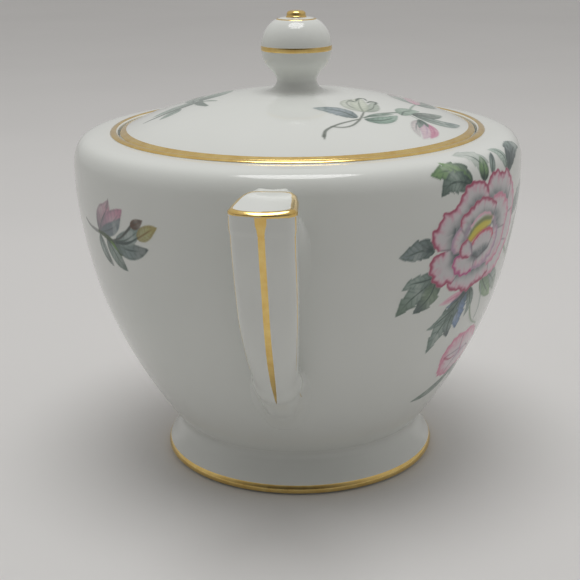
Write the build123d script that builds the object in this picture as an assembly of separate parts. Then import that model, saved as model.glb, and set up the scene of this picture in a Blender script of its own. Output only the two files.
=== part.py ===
"""Covered porcelain sugar bowl: footed bowl with two strap handles, and a lift-off lid with a ball knob.

Millimetres, +Z up. The origin is the centre of the foot's resting plane, and the handles lie along X.
Gilding is inlaid: each gilt line is a thin solid let into the ceramic that carries it, flush with its surface.
"""
import os

from build123d import *

# Heights
foot_edge_z = 1.3
foot_band_low_z = 0.2
foot_band_high_z = 2.5
waist_z = 9.1
wall_top_z = 71.6
inner_wall_top_z = 69.0
gallery_z = 79.2
shoulder_z = 81.3
mouth_top_z = 81.5
rim_top_z = 82.1
lid_edge_z = 81.2
lid_brim_z = 82.0
lid_inside_z = 80.4
lid_pad_z = 90.0
neck_top_z = 93.9
knob_centre_z = 100.2
knob_cap_edge_z = 106.55
knob_cap_z = 106.9
knob_cap_top_z = 107.0
button_seat_z = 106.6
button_side_z = 107.3
button_top_z = 108.8

# Radii
foot_base_r = 33.8
foot_seat_r = 32.4
waist_r = 29.9
body_max_r = 53.5
floor_flat_r = 18.0
rim_outer_r = 44.8
rim_crest_r = 43.9
mouth_r = 42.9
gallery_inner_r = 39.6
lid_r = 42.5
lid_brim_r = 41.5
lid_flange_r = 39.2
lid_pad_r = 6.9
knob_base_r = 6.3
knob_neck_r = 4.75
neck_top_r = 5.4
knob_r = 8.4
knob_cap_r = 5.0
button_r = 2.45

# Walls and gaps
body_wall = 3.2
floor_thickness = 3.4
foot_wall = 3.4
foot_seat_width = 3.0
gallery_thickness = 3.0
lid_wall = 2.8
flange_thickness = 2.6
flange_depth = 5.6
lid_seat_gap = 0.1

# Gilding
gilt_depth = 0.3
gilt_clearance = 1.0
knob_band_height = 1.2
lid_band_width = 1.0
crown_line_width = 0.7
plate_border_width = 1.1
plate_border_round = 2.5
plate_border_back_x = 54.4
spine_half_width = 0.9
spine_head_half_width = 1.3
spine_head_z = 74.0
spine_tip_z = 30.5

# Handle
plate_top_z = 78.0
handle_reach = 72.3
handle_buried_x = 38.0
plate_buried_x = 48.0
plate_back_x = 50.0
plate_half_width = 6.5
root_half_width = 7.4
nose_radius = 1.3
strap_edge_radius = 0.8
handle_foot_z = 22.0
strap_foot_half_width = 4.2

# Outlines through (radius, height)
foot_side = [(foot_base_r, foot_edge_z), (32.6, 3.6), (31.3, 6.2), (waist_r, waist_z)]
foot_recess = [(waist_r - foot_wall, waist_z), (27.6, 5.0), (foot_seat_r - foot_seat_width, 0)]
bowl_wall = [(waist_r, waist_z), (33.6, 13.4), (41.2, 26.0), (48.6, 43.2), (52.4, 60.0), (body_max_r, wall_top_z)]
bowl_shoulder = [(body_max_r, wall_top_z), (52.9, 78.0), (50.2, 80.7), (rim_outer_r, shoulder_z)]
bowl_inner_wall = [
    (body_max_r - body_wall, inner_wall_top_z),
    (49.2, 60.0),
    (45.5, 44.0),
    (38.4, 28.0),
    (30.0, 16.6),
    (floor_flat_r, waist_z + floor_thickness),
]
under_gallery = [
    (gallery_inner_r, gallery_z - gallery_thickness),
    (45.0, 76.0),
    (49.0, 74.0),
    (body_max_r - body_wall, inner_wall_top_z),
]
lid_dome = [
    (lid_brim_r, lid_brim_z),
    (36.0, 83.7),
    (28.8, 86.0),
    (21.6, 88.0),
    (14.4, 89.4),
    (lid_pad_r, lid_pad_z),
]
knob_neck = [(knob_base_r, lid_pad_z), (5.0, 91.3), (knob_neck_r, 92.5), (neck_top_r, neck_top_z)]
knob_ball = [
    (neck_top_r, neck_top_z),
    (7.3, 96.2),
    (knob_r, knob_centre_z),
    (7.4, 104.2),
    (knob_cap_r, knob_cap_edge_z),
]

# Handle outlines: the side view through (x, height), the front view through (half width, height) and the
# thumb plate's plan through (x, half width)
strap_outer_side = [
    (handle_reach, plate_top_z - nose_radius),
    (71.0, 70.5),
    (68.1, 61.5),
    (65.1, 52.4),
    (60.6, 43.4),
    (52.8, 33.0),
    (handle_buried_x, handle_foot_z),
]
strap_finger_side = [
    (53.2, 40.2),
    (57.6, 45.6),
    (61.4, 54.0),
    (64.6, 63.0),
    (65.9, 69.4),
    (63.6, 72.6),
    (58.6, 70.6),
    (54.4, 66.0),
    (52.2, 60.6),
]
strap_front_side = [
    (strap_foot_half_width, handle_foot_z - 2),
    (4.6, 33.0),
    (5.6, 43.4),
    (6.2, 52.4),
    (6.45, 61.5),
    (plate_half_width, 72.0),
    (plate_half_width, plate_top_z + 1),
]
plate_side = [
    (plate_back_x, 1.5),
    (52.6, 3.2),
    (54.6, 4.4),
    (57.5, 5.5),
    (62.0, 6.2),
    (67.0, plate_half_width),
    (handle_reach + 1, plate_half_width),
]

# Handle roots, each from the wall to the strap: (x, centre height, half width, half height)
upper_root = [(51.0, 67.8, root_half_width, 9.6), (58.0, 72.6, 5.2, 4.4)]
lower_root = [(41.0, 30.0, 7.0, 8.0), (52.0, 35.2, 4.6, 4.2)]

down = Vector(0, 0, -1)
towards_axis = Vector(-1, 0, 0)


def in_section(*curves):
    """The closed half section, drawn in the XZ plane, that the given curves enclose."""
    return make_face([Plane.XZ * curve for curve in curves])


def turned(face):
    """The solid that a half section sweeps out round the vertical axis."""
    return revolve(face, Axis.Z, 360)


def section_box(r_low, z_low, r_high, z_high):
    """A rectangle in the half section, from its low corner to its high corner."""
    width = r_high - r_low
    height = z_high - z_low
    centre = (r_low + width / 2, z_low + height / 2)
    return Plane.XZ * Pos(*centre) * Rectangle(width, height)


def skin(face, zone, inward):
    """The layer of a half section, gilt_depth thick, that faces away from the inward direction in a zone."""
    core = Pos(gilt_depth * inward) * face
    return (face & zone) - core


def make_foot():
    """The flared pedestal ring, hollow underneath, and the gilt band round its base."""
    base_round = TangentArc((foot_seat_r, 0), foot_side[0], tangent=(1, 0))
    top = Line(foot_side[-1], foot_recess[0])
    seat = Line(foot_recess[-1], (foot_seat_r, 0))
    section = in_section(Spline(*foot_side), top, Spline(*foot_recess), seat, base_round)
    outside_r = foot_base_r + gilt_clearance
    gilt_zone = section_box(foot_seat_r + gilt_depth, foot_band_low_z, outside_r, foot_band_high_z)
    gilt = skin(section, gilt_zone, towards_axis)
    return turned(section - gilt), turned(gilt)


def bowl_outline():
    """The bowl's outer outline from the waist to the rim, as a list of curves."""
    wall = Spline(*bowl_wall, tangents=[(1, 0.75), (0, 1)])
    shoulder = Spline(*bowl_shoulder, tangents=[(0, 1), (-1, 0.06)])
    bead = ThreePointArc(bowl_shoulder[-1], (rim_crest_r, rim_top_z), (mouth_r, mouth_top_z))
    return [wall, shoulder, bead]


def make_bowl():
    """The hollow bowl with a gallery ledge inside its mouth, and the gilt bead on its rim."""
    floor_z = waist_z + floor_thickness
    mouth = Line((mouth_r, mouth_top_z), (mouth_r, gallery_z))
    ledge = Line((mouth_r, gallery_z), (gallery_inner_r, gallery_z))
    ledge_end = Line((gallery_inner_r, gallery_z), under_gallery[0])
    under_ledge = Spline(*under_gallery, tangents=[(1, 0), (0, -1)])
    inside = Spline(*bowl_inner_wall, tangents=[(0, -1), (-1, 0)])
    floor = Line(bowl_inner_wall[-1], (0, floor_z))
    axis = Line((0, floor_z), (0, waist_z))
    underside = Line((0, waist_z), (waist_r, waist_z))
    inner = [mouth, ledge, ledge_end, under_ledge, inside, floor, axis, underside]
    section = in_section(*bowl_outline(), *inner)
    gilt_zone = section_box(mouth_r + gilt_depth, gallery_z, rim_outer_r, rim_top_z + gilt_clearance)
    gilt = skin(section, gilt_zone, down)
    return turned(section - gilt), turned(gilt)


def make_bowl_core():
    """The bowl's outside as one full solid, used to fit the handles to the wall."""
    top = Line((mouth_r, mouth_top_z), (0, mouth_top_z))
    axis = Line((0, mouth_top_z), (0, waist_z))
    underside = Line((0, waist_z), (waist_r, waist_z))
    return turned(in_section(*bowl_outline(), top, axis, underside))


def make_lid():
    """The domed lid with its seat and locating flange, and the gilt line inside its edge."""
    seat_z = gallery_z + lid_seat_gap
    flange_bottom_z = seat_z - flange_depth
    flange_inner_r = lid_flange_r - flange_thickness
    dome_inside = [(0, lid_pad_z), (14.4, 89.4), (28.8, 85.8), (flange_inner_r, lid_inside_z + lid_wall)]
    edge = Line((lid_r, seat_z), (lid_r, lid_edge_z))
    edge_round = ThreePointArc((lid_r, lid_edge_z), (42.2, 81.75), lid_dome[0])
    dome = Spline(*lid_dome, tangents=[(-1, 0.28), (-1, 0)])
    pad = Line(lid_dome[-1], (0, lid_pad_z))
    axis = Line((0, lid_pad_z), (0, lid_pad_z - lid_wall))
    under_dome = Pos(0, -lid_wall) * Spline(*dome_inside, tangents=[(1, 0), (1, -0.34)])
    flange_inside = Line((flange_inner_r, lid_inside_z), (flange_inner_r, flange_bottom_z))
    flange_end = Line((flange_inner_r, flange_bottom_z), (lid_flange_r, flange_bottom_z))
    flange_outside = Line((lid_flange_r, flange_bottom_z), (lid_flange_r, seat_z))
    seat = Line((lid_flange_r, seat_z), (lid_r, seat_z))
    lower = [axis, under_dome, flange_inside, flange_end, flange_outside, seat]
    section = in_section(edge, edge_round, dome, pad, *lower)
    gilt_zone = section_box(lid_brim_r - lid_band_width, gallery_z, lid_brim_r, lid_pad_z)
    gilt = skin(section, gilt_zone, down)
    return turned(section - gilt), turned(gilt)


def make_button():
    """The gilt button, a small rounded cone let into the crown of the knob."""
    bottom = Line((0, button_seat_z), (button_r, button_seat_z))
    side = Line((button_r, button_seat_z), (button_r, button_side_z))
    cone = Spline((button_r, button_side_z), (1.9, 108.35), (0, button_top_z), tangents=[(0, 1), (-1, 0)])
    axis = Line((0, button_top_z), (0, button_seat_z))
    return turned(in_section(bottom, side, cone, axis))


def make_knob():
    """The ball knob on its neck, with its gilt equator band and gilt crown line."""
    base = Line((0, lid_pad_z), knob_neck[0])
    ball = Spline(*knob_ball, tangents=[(1, 1), (-1, 0.55)])
    cap = Spline(knob_ball[-1], (button_r, knob_cap_z), (0, knob_cap_top_z))
    axis = Line((0, knob_cap_top_z), (0, lid_pad_z))
    section = in_section(base, Spline(*knob_neck), ball, cap, axis)
    button_zone = section_box(0, button_seat_z, button_r, button_top_z)
    band_low_z = knob_centre_z - knob_band_height * 0.4
    band_zone = section_box(knob_neck_r, band_low_z, knob_r + gilt_clearance, band_low_z + knob_band_height)
    band = skin(section, band_zone, towards_axis)
    crown_low_r = knob_cap_r - crown_line_width / 2
    crown_zone = section_box(crown_low_r, knob_centre_z, crown_low_r + crown_line_width, button_top_z)
    crown = skin(section, crown_zone, down)
    ceramic = section - band - crown - button_zone
    return turned(ceramic), turned(band), turned(crown)


def handle_side():
    """The handle's side outline in the XZ plane, with the finger hole left open against the wall."""
    nose_start = (handle_reach - nose_radius, plate_top_z)
    wall_foot = (handle_buried_x, strap_finger_side[0][1])
    wall_head = (plate_buried_x, strap_finger_side[-1][1])
    return in_section(
        Line((plate_buried_x, plate_top_z), nose_start),
        RadiusArc(nose_start, strap_outer_side[0], nose_radius),
        Spline(*strap_outer_side),
        Line(strap_outer_side[-1], wall_foot),
        Line(wall_foot, strap_finger_side[0]),
        Spline(*strap_finger_side, tangents=[(1, 0.9), (-0.12, -1)]),
        Line(strap_finger_side[-1], wall_head),
        Line(wall_head, (plate_buried_x, plate_top_z)),
    )


def handle_front():
    """The handle's front outline in the YZ plane: a strap that tapers towards its lower root."""
    right = Spline(*strap_front_side)
    left = mirror(right, Plane.YZ)
    top = Line(right @ 1, left @ 1)
    bottom = Line(right @ 0, left @ 0)
    return make_face([Plane.YZ * curve for curve in (right, top, left, bottom)])


def plate_plan():
    """The thumb plate's outline from above: square at its end and rounded in towards the wall."""
    right = Spline(*plate_side)
    left = mirror(right, Plane.XZ)
    end = Line(right @ 1, left @ 1)
    back = Line(right @ 0, left @ 0)
    return make_face([right, end, left, back])


def beside_plate():
    """Everything outside the thumb plate's plan, from the top of the finger hole upwards."""
    beside = Rectangle(4 * handle_reach, 4 * plate_half_width) - plate_plan()
    return Pos(0, 0, strap_finger_side[-1][1]) * extrude(beside, plate_top_z)


def flare(near, far):
    """A root that narrows from the wall to the strap."""
    sections = []
    for x, z, half_width, half_height in (near, far):
        sections.append(Plane.YZ.offset(x) * Pos(0, z) * Ellipse(half_width, half_height))
    return loft(sections)


def soften(strap):
    """Rounds the long edges down both sides of the strap, below the gilt edge of the thumb plate."""
    off_middle = strap_foot_half_width / 2
    sides = [edge for edge in strap.edges() if abs(edge.center().Y) > off_middle and edge.length > 3]
    free_sides = [edge for edge in sides if edge.center().X > plate_back_x and edge.center().Z < plate_top_z - 1]
    return fillet(free_sides, strap_edge_radius)


def make_spine_zone():
    """The layer under the strap's outer face, cut to the outline of the tapering gilt spine line."""
    outer = Spline(*strap_outer_side)
    buried = Pos(-gilt_depth, 0, 0) * outer
    proud = Pos(gilt_clearance, 0, 0) * outer
    layer = in_section(buried, proud, Line(buried @ 0, proud @ 0), Line(buried @ 1, proud @ 1))
    top_z = plate_top_z - nose_radius
    right = Polyline(
        (0, spine_tip_z),
        (0.6, 39.0),
        (0.8, 50.0),
        (spine_half_width, spine_head_z - 1),
        (spine_head_half_width, spine_head_z),
        (spine_head_half_width, top_z),
        (0, top_z),
    )
    left = mirror(right, Plane.YZ)
    stripe = make_face([Plane.YZ * edge for edge in (*right.edges(), *left.edges())])
    return extrude(layer, 2 * plate_half_width, both=True) & extrude(stripe, 2 * handle_reach)


def make_plate_border_zone():
    """The border that the gilt line follows along the thumb plate's two sides and its end."""
    right = Spline(*[(x, half_width - plate_border_width) for x, half_width in plate_side[1:-1]])
    left = mirror(right, Plane.XZ)
    end_x = handle_reach - plate_border_width
    end_right = (end_x, plate_half_width - plate_border_width)
    end_left = (end_x, -end_right[1])
    end = Polyline(right @ 1, end_right, end_left, left @ 1)
    inner_plan = make_face([right, *end.edges(), left, Line(left @ 0, right @ 0)])
    inner_plan = fillet(inner_plan.vertices().group_by(Axis.X)[-1], plate_border_round)
    base_z = plate_top_z - plate_border_width
    inside = Pos(0, 0, base_z - 1) * extrude(inner_plan, 4 * plate_border_width)
    length = handle_reach - plate_border_back_x + gilt_clearance
    middle = (plate_border_back_x + length / 2, 0, plate_top_z)
    return Pos(*middle) * Box(length, 4 * plate_half_width, 2 * plate_border_width) - inside


def make_handle(bowl_core):
    """One handle on the +X side, with its gilt spine line and its gilt plate edge."""
    strap = extrude(handle_side(), 2 * root_half_width, both=True)
    strap &= extrude(handle_front(), 2 * handle_reach)
    strap = soften(strap) - beside_plate()
    handle = strap + flare(*upper_root) + flare(*lower_root) - bowl_core
    spine = handle & make_spine_zone()
    plate_edge = (handle & make_plate_border_zone()) - spine
    return handle - spine - plate_edge, spine, plate_edge


pedestal_foot, foot_gold_band = make_foot()
bowl, rim_gold_band = make_bowl()
lid, lid_gold_band = make_lid()
lid_knob, knob_gold_band, knob_crown_gold_line = make_knob()
handle, handle_spine, handle_plate_edge = make_handle(make_bowl_core())
parts = {
    "pedestal_foot": pedestal_foot,
    "foot_gold_band": foot_gold_band,
    "bowl": bowl,
    "rim_gold_band": rim_gold_band,
    "lid": lid,
    "lid_gold_band": lid_gold_band,
    "lid_knob": lid_knob,
    "knob_gold_band": knob_gold_band,
    "knob_crown_gold_line": knob_crown_gold_line,
    "knob_gold_button": make_button(),
}
for side, turn in (("right", 0), ("left", 180)):
    parts[f"handle_{side}"] = Rot(0, 0, turn) * handle
    parts[f"handle_{side}_gold_spine"] = Rot(0, 0, turn) * handle_spine
    parts[f"handle_{side}_gold_plate_edge"] = Rot(0, 0, turn) * handle_plate_edge

os.makedirs("parts", exist_ok=True)
for name, part in parts.items():
    export_step(part, f"parts/{name}.step")
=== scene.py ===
"""Looks of the covered porcelain sugar bowl: glazed body, lid and handles, gilt lines and painted sprays.

Lengths inside the shape functions are millimetres in the part's own frame, and MM turns them into metres.
Sizes come from the frame where it gives them and otherwise follow the CAD model, so each piece lies close
to its node.
"""
import math

import bmesh
import bpy
import numpy as np
from mathutils import Matrix, Vector


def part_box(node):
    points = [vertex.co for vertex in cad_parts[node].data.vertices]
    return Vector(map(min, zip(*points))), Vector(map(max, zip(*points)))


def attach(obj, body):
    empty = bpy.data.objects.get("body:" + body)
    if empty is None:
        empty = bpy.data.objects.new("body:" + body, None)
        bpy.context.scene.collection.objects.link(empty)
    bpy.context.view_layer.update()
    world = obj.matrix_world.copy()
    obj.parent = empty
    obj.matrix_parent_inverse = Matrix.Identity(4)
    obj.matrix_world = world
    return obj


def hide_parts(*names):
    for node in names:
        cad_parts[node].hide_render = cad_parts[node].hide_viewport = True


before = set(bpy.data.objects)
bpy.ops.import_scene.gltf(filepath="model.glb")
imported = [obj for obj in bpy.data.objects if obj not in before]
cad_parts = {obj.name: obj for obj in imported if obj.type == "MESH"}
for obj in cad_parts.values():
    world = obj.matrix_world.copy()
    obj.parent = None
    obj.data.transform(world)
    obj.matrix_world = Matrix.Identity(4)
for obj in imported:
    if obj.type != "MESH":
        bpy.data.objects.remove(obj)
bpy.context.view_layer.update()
MM = 0.001


# ---------------------------------------------------------------- sizes in millimetres
def node_low(node, axis):
    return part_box(node)[0][axis] / MM


def node_high(node, axis):
    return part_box(node)[1][axis] / MM


X, Y, Z = 0, 1, 2
WAIST_Z = node_low("bowl", Z)
WAIST_R = 29.9
BODY_R = 53.5
BODY_Z = 71.6
WALL_THICKNESS = 3.2
FLOOR_THICKNESS = 3.4
RIM_Z = node_high("rim_gold_band", Z) - 0.2
RIM_R = 44.8
BEAD_CREST_R = 43.9
SHOULDER_Z = 81.3
MOUTH_R = 42.9
GALLERY_Z = 79.2
GALLERY_R = 39.6
GALLERY_THICKNESS = 3.0
FOOT_R = node_high("foot_gold_band", X)
FOOT_SEAT_R = 32.4
FOOT_ROUND = ((FOOT_SEAT_R, 0.0), (33.4, 0.42), (FOOT_R, 1.3))
FOOT_SIDE = [(FOOT_R, 1.3), (32.6, 3.6), (31.2, 6.2)]
LID_R = node_high("lid", X)
LID_EDGE_Z = 80.95
LID_SEAT_Z = 79.3
LID_THICKNESS = 2.8
DOME_EDGE = (41.5, 81.78)
FLANGE_R = 39.2
FLANGE_Z = node_low("lid", Z)
FLANGE_THICKNESS = 2.6
PAD_Z = node_high("lid", Z)
PAD_R = 6.9
KNOB_Z = 100.2
KNOB_R = 8.4
NECK_R = 4.75
NECK_TOP = (5.25, 93.9)
NECK_TOP_SLOPE = (1, 1.6)
CROWN_EDGE = (4.9, 106.75)
BUTTON_R = 2.45
BUTTON_Z = node_high("knob_gold_button", Z)
PLATE_Z = node_high("handle_right", Z)

TURN_STEPS = 256
GILT_PROUD = 0.04
GILT_DEPTH = 0.25
HAIR_PROUD = 0.02


# ---------------------------------------------------------------- curves in the half section
def spline(points, start=None, end=None, step=0.5):
    """A smooth curve through the points, with given end directions where wanted."""
    p = np.array(points, float)
    gaps = np.linalg.norm(np.diff(p, axis=0), axis=1)
    slopes = np.diff(p, axis=0) / gaps[:, None]
    n = len(p)
    left = np.zeros((n, n))
    right = np.zeros((n, 2))
    for i in range(1, n - 1):
        left[i, i - 1] = gaps[i]
        left[i, i] = 2 * (gaps[i - 1] + gaps[i])
        left[i, i + 1] = gaps[i - 1]
        right[i] = 3 * (gaps[i] * slopes[i - 1] + gaps[i - 1] * slopes[i])
    for row, near, direction, slope in ((0, 1, start, slopes[0]), (n - 1, n - 2, end, slopes[-1])):
        if direction is None:
            left[row, row] = 2
            left[row, near] = 1
            right[row] = 3 * slope
        else:
            left[row, row] = 1
            right[row] = np.array(direction, float) / np.linalg.norm(direction)
    tangents = np.linalg.solve(left, right)
    out = []
    for i, gap in enumerate(gaps):
        count = max(2, int(math.ceil(gap / step)))
        t = np.linspace(0, 1, count, endpoint=False)[:, None]
        h00 = 2 * t**3 - 3 * t**2 + 1
        h10 = t**3 - 2 * t**2 + t
        h01 = 3 * t**2 - 2 * t**3
        h11 = t**3 - t**2
        out.append(h00 * p[i] + h10 * gap * tangents[i] + h01 * p[i + 1] + h11 * gap * tangents[i + 1])
    return np.vstack(out + [p[-1:]])


def arc(a, b, c, count=12):
    """The circular arc from a through b to c."""
    (ax, ay), (bx, by), (cx, cy) = a, b, c
    d = 2 * (ax * (by - cy) + bx * (cy - ay) + cx * (ay - by))
    ux = ((ax**2 + ay**2) * (by - cy) + (bx**2 + by**2) * (cy - ay) + (cx**2 + cy**2) * (ay - by)) / d
    uy = ((ax**2 + ay**2) * (cx - bx) + (bx**2 + by**2) * (ax - cx) + (cx**2 + cy**2) * (bx - ax)) / d
    r = math.hypot(ax - ux, ay - uy)
    a0, a1, a2 = (math.atan2(y - uy, x - ux) for x, y in (a, b, c))
    span = (a2 - a0) % (2 * math.pi)
    if (a1 - a0) % (2 * math.pi) > span:
        span -= 2 * math.pi
    angles = a0 + span * np.linspace(0, 1, count)
    return np.column_stack([ux + r * np.cos(angles), uy + r * np.sin(angles)])


def corner(a, b, c, radius, count=6):
    """A rounded corner at b on the way from a to c."""
    a, b, c = (np.array(p, float) for p in (a, b, c))
    to_a = (a - b) / np.linalg.norm(a - b)
    to_c = (c - b) / np.linalg.norm(c - b)
    half = math.acos(float(np.clip(to_a @ to_c, -1, 1))) / 2
    cut = radius / math.tan(half)
    centre = b + (to_a + to_c) / np.linalg.norm(to_a + to_c) * radius / math.sin(half)
    start = b + to_a * cut
    end = b + to_c * cut
    middle = centre + (b - centre) / np.linalg.norm(b - centre) * radius
    return arc(start, middle, end, count)


def chain(*pieces):
    """Joins curves and single points into one outline without repeated points."""
    points = []
    for piece in pieces:
        for point in np.atleast_2d(np.array(piece, float)):
            if not points or np.linalg.norm(point - points[-1]) > 1e-3:
                points.append(point)
    return np.array(points)


def wall_outline():
    """The bowl's outside from the waist over the shoulder to the foot of the gilt bead."""
    wall = spline(
        [(WAIST_R, WAIST_Z), (33.6, 13.4), (41.2, 26.0), (48.6, 43.2), (52.4, 60.0), (BODY_R, BODY_Z)],
        start=(1, 0.75),
        end=(0, 1),
    )
    shoulder = spline(
        [(BODY_R, BODY_Z), (53.0, 77.8), (51.5, 80.1), (48.4, 81.15), (RIM_R, SHOULDER_Z)],
        start=(0, 1),
        end=(-1, 0.02),
        step=0.25,
    )
    return chain(wall, shoulder)


def bead_outline():
    """The rounded bead round the mouth, on which the rim's gilding lies."""
    return arc((RIM_R, SHOULDER_Z), (BEAD_CREST_R, RIM_Z), (MOUTH_R, SHOULDER_Z + 0.2), 14)


def dome_outline():
    """The lid's top from its rounded edge to the pad under the knob."""
    edge = arc((LID_R, LID_EDGE_Z), (42.2, 81.45), DOME_EDGE, 8)
    dome = spline(
        [DOME_EDGE, (36.0, 84.15), (28.8, 86.5), (21.6, 88.3), (14.4, 89.5), (PAD_R, PAD_Z)],
        start=(-1, 0.5),
        end=(-1, 0),
    )
    return chain(edge, dome)


# ---------------------------------------------------------------- meshes
def new_object(name, vertices, faces, sharp_angle=40):
    """A smooth-shaded object from millimetre vertices, with edges sharper than sharp_angle left crisp."""
    mesh = bpy.data.meshes.new(name)
    mesh.from_pydata([tuple(v) for v in np.asarray(vertices) * MM], [], [tuple(f) for f in faces])
    work = bmesh.new()
    work.from_mesh(mesh)
    bmesh.ops.recalc_face_normals(work, faces=work.faces)
    work.to_mesh(mesh)
    work.free()
    mesh.shade_smooth()
    mesh.set_sharp_from_angle(angle=math.radians(sharp_angle))
    piece = bpy.data.objects.new(name, mesh)
    bpy.context.scene.collection.objects.link(piece)
    return piece


def lathe(name, outline, closed=True, steps=TURN_STEPS):
    """Turns (r, z) points round the axis: closed into a ring, or open with its ends on the axis."""
    angles = np.arange(steps) * 2 * math.pi / steps
    vertices = []
    rings = []
    for r, z in outline:
        first = len(vertices)
        if r < 1e-6:
            vertices.append((0, 0, z))
            rings.append([first] * steps)
        else:
            vertices.extend((r * math.cos(a), r * math.sin(a), z) for a in angles)
            rings.append(list(range(first, first + steps)))
    faces = []
    pairs = list(zip(rings, rings[1:])) + ([(rings[-1], rings[0])] if closed else [])
    for one, two in pairs:
        for i in range(steps):
            j = (i + 1) % steps
            corners = [one[i], one[j], two[j], two[i]]
            faces.append([c for k, c in enumerate(corners) if c != corners[k - 1]])
    return new_object(name, vertices, faces)


def normals_of(curve):
    """Unit normals on the left of a curve's direction of travel."""
    along = np.gradient(curve, axis=0)
    along /= np.linalg.norm(along, axis=1)[:, None]
    return np.column_stack([-along[:, 1], along[:, 0]])


def gilt_ring(name, curve):
    """A thin ring of gilding that lies on a stretch of outline and rounds down at both edges."""
    outward = -normals_of(curve)
    share = np.linspace(-1, 1, len(curve))
    height = GILT_PROUD * np.sqrt(np.clip(1 - share**6, 0, 1))
    top = curve + outward * height[:, None]
    under = curve - outward * GILT_DEPTH
    return lathe(name, chain(top, under[::-1]))


def make_bowl():
    """The bowl: outside wall, bead, gallery ledge and inside."""
    ledge_z = GALLERY_Z - GALLERY_THICKNESS
    floor_z = WAIST_Z + FLOOR_THICKNESS
    inner_r = BODY_R - WALL_THICKNESS
    inside = spline(
        [(inner_r, 69.0), (49.2, 60.0), (45.5, 44.0), (38.4, 28.0), (30.0, 16.6), (18.0, floor_z)],
        start=(0, -1),
        end=(-1, 0),
        step=1.0,
    )
    under_ledge = spline(
        [(GALLERY_R + 0.8, ledge_z), (45.0, ledge_z - 0.2), (49.0, 74.0), (inner_r, 69.0)],
        start=(1, 0),
        end=(0, -1),
        step=0.7,
    )
    ledge_nose = chain(
        corner((MOUTH_R, GALLERY_Z), (GALLERY_R, GALLERY_Z), (GALLERY_R, ledge_z), 0.8),
        corner((GALLERY_R, GALLERY_Z), (GALLERY_R, ledge_z), (45.0, ledge_z), 0.8),
    )
    seat = corner((MOUTH_R, SHOULDER_Z), (MOUTH_R, GALLERY_Z), (GALLERY_R, GALLERY_Z), 0.35)
    outline = chain(
        (0, WAIST_Z),
        (20, WAIST_Z),
        wall_outline(),
        bead_outline(),
        seat,
        ledge_nose,
        under_ledge,
        inside,
        (0, floor_z),
    )
    return lathe("bowl_porcelain", outline, closed=False)


def make_foot():
    """The flared pedestal ring, with the glaze fillet that runs up into the bowl."""
    to_bowl = [(30.45, 8.3), (30.65, 9.6), (31.55, 10.9)]
    side = spline(FOOT_SIDE + to_bowl, start=(-0.1, 1), end=(1, 1.15), step=0.25)
    inside = spline([(26.5, WAIST_Z + 0.6), (27.6, 5.0), (29.3, 0.7)], step=0.6)
    seat_round = corner((28.9, 1.4), (29.4, 0.0), (FOOT_SEAT_R, 0.0), 0.5)
    return lathe("foot_porcelain", chain(arc(*FOOT_ROUND, 8), side, (29.0, 11.0), inside, seat_round))


def make_lid():
    """The domed lid with its seat and locating flange."""
    flange_in = FLANGE_R - FLANGE_THICKNESS
    under = spline(
        [(0, PAD_Z - LID_THICKNESS), (14.4, 86.6), (28.8, 83.0), (flange_in + 0.4, 80.3)],
        start=(1, 0),
        end=(1, -0.5),
        step=1.0,
    )
    flange_end = chain(
        corner((flange_in, 80.0), (flange_in, FLANGE_Z), (FLANGE_R, FLANGE_Z), 1.0),
        corner((flange_in, FLANGE_Z), (FLANGE_R, FLANGE_Z), (FLANGE_R, LID_SEAT_Z), 1.0),
    )
    root = corner((FLANGE_R, FLANGE_Z), (FLANGE_R, LID_SEAT_Z), (LID_R, LID_SEAT_Z), 0.3)
    skirt = corner((FLANGE_R, LID_SEAT_Z), (LID_R, LID_SEAT_Z), (LID_R, LID_EDGE_Z), 0.4)
    outline = chain(under, (flange_in, 79.6), flange_end, root, skirt, dome_outline(), (0, PAD_Z))
    return lathe("lid_porcelain", outline, closed=False)


def knob_outline():
    """The knob's outside from its foot on the lid over the ball to the axis."""
    foot = [(7.6, PAD_Z - 0.05), (5.6, 90.9), (NECK_R, 92.5), NECK_TOP]
    ball = [NECK_TOP, (7.25, 96.2), (KNOB_R, KNOB_Z), (7.5, 104.1), CROWN_EDGE]
    crown = [CROWN_EDGE, (2.9, 107.25), (0, 107.3)]
    return chain(
        spline(foot, start=(-1, 0.15), end=NECK_TOP_SLOPE, step=0.25),
        spline(ball, start=NECK_TOP_SLOPE, end=(-1, 0.5), step=0.3),
        spline(crown, start=(-1, 0.5), end=(-1, 0), step=0.4),
    )


def make_knob():
    outline = chain((0, PAD_Z - 0.3), (7.2, PAD_Z - 0.3), knob_outline())
    return lathe("knob_porcelain", outline, closed=False, steps=128)


def make_button():
    """The small gilt button on the crown of the knob."""
    collar = arc((BUTTON_R, 107.25), (2.4, 107.5), (2.25, 107.6), 5)
    stud = [(2.25, 107.6), (2.2, 108.25), (1.8, 108.65), (0, BUTTON_Z)]
    top = spline(stud, start=(0, 1), end=(-1, 0), step=0.15)
    outline = chain((0, 106.7), (BUTTON_R, 106.75), collar, top)
    return lathe("knob_button_gilt", outline, closed=False, steps=96)


def between(curve, low_z=None, high_z=None, low_r=None, high_r=None):
    """The stretch of a curve inside the given limits."""
    keep = np.ones(len(curve), bool)
    for limit, column, side in ((low_z, 1, 1), (high_z, 1, -1), (low_r, 0, 1), (high_r, 0, -1)):
        if limit is not None:
            keep &= (curve[:, column] - limit) * side >= 0
    return curve[keep]


def fine(curve, step):
    """The same curve with points every step."""
    lengths = np.concatenate([[0], np.cumsum(np.linalg.norm(np.diff(curve, axis=0), axis=1))])
    at = np.arange(0, lengths[-1] + step / 2, step)
    return np.column_stack([np.interp(at, lengths, curve[:, k]) for k in (0, 1)])


# ---------------------------------------------------------------- materials
def material(name):
    """A new material, its node tree and its main shader."""
    made = bpy.data.materials.new(name)
    made.use_nodes = True
    tree = made.node_tree
    shader = tree.nodes["Principled BSDF"]
    return made, tree, shader


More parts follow.
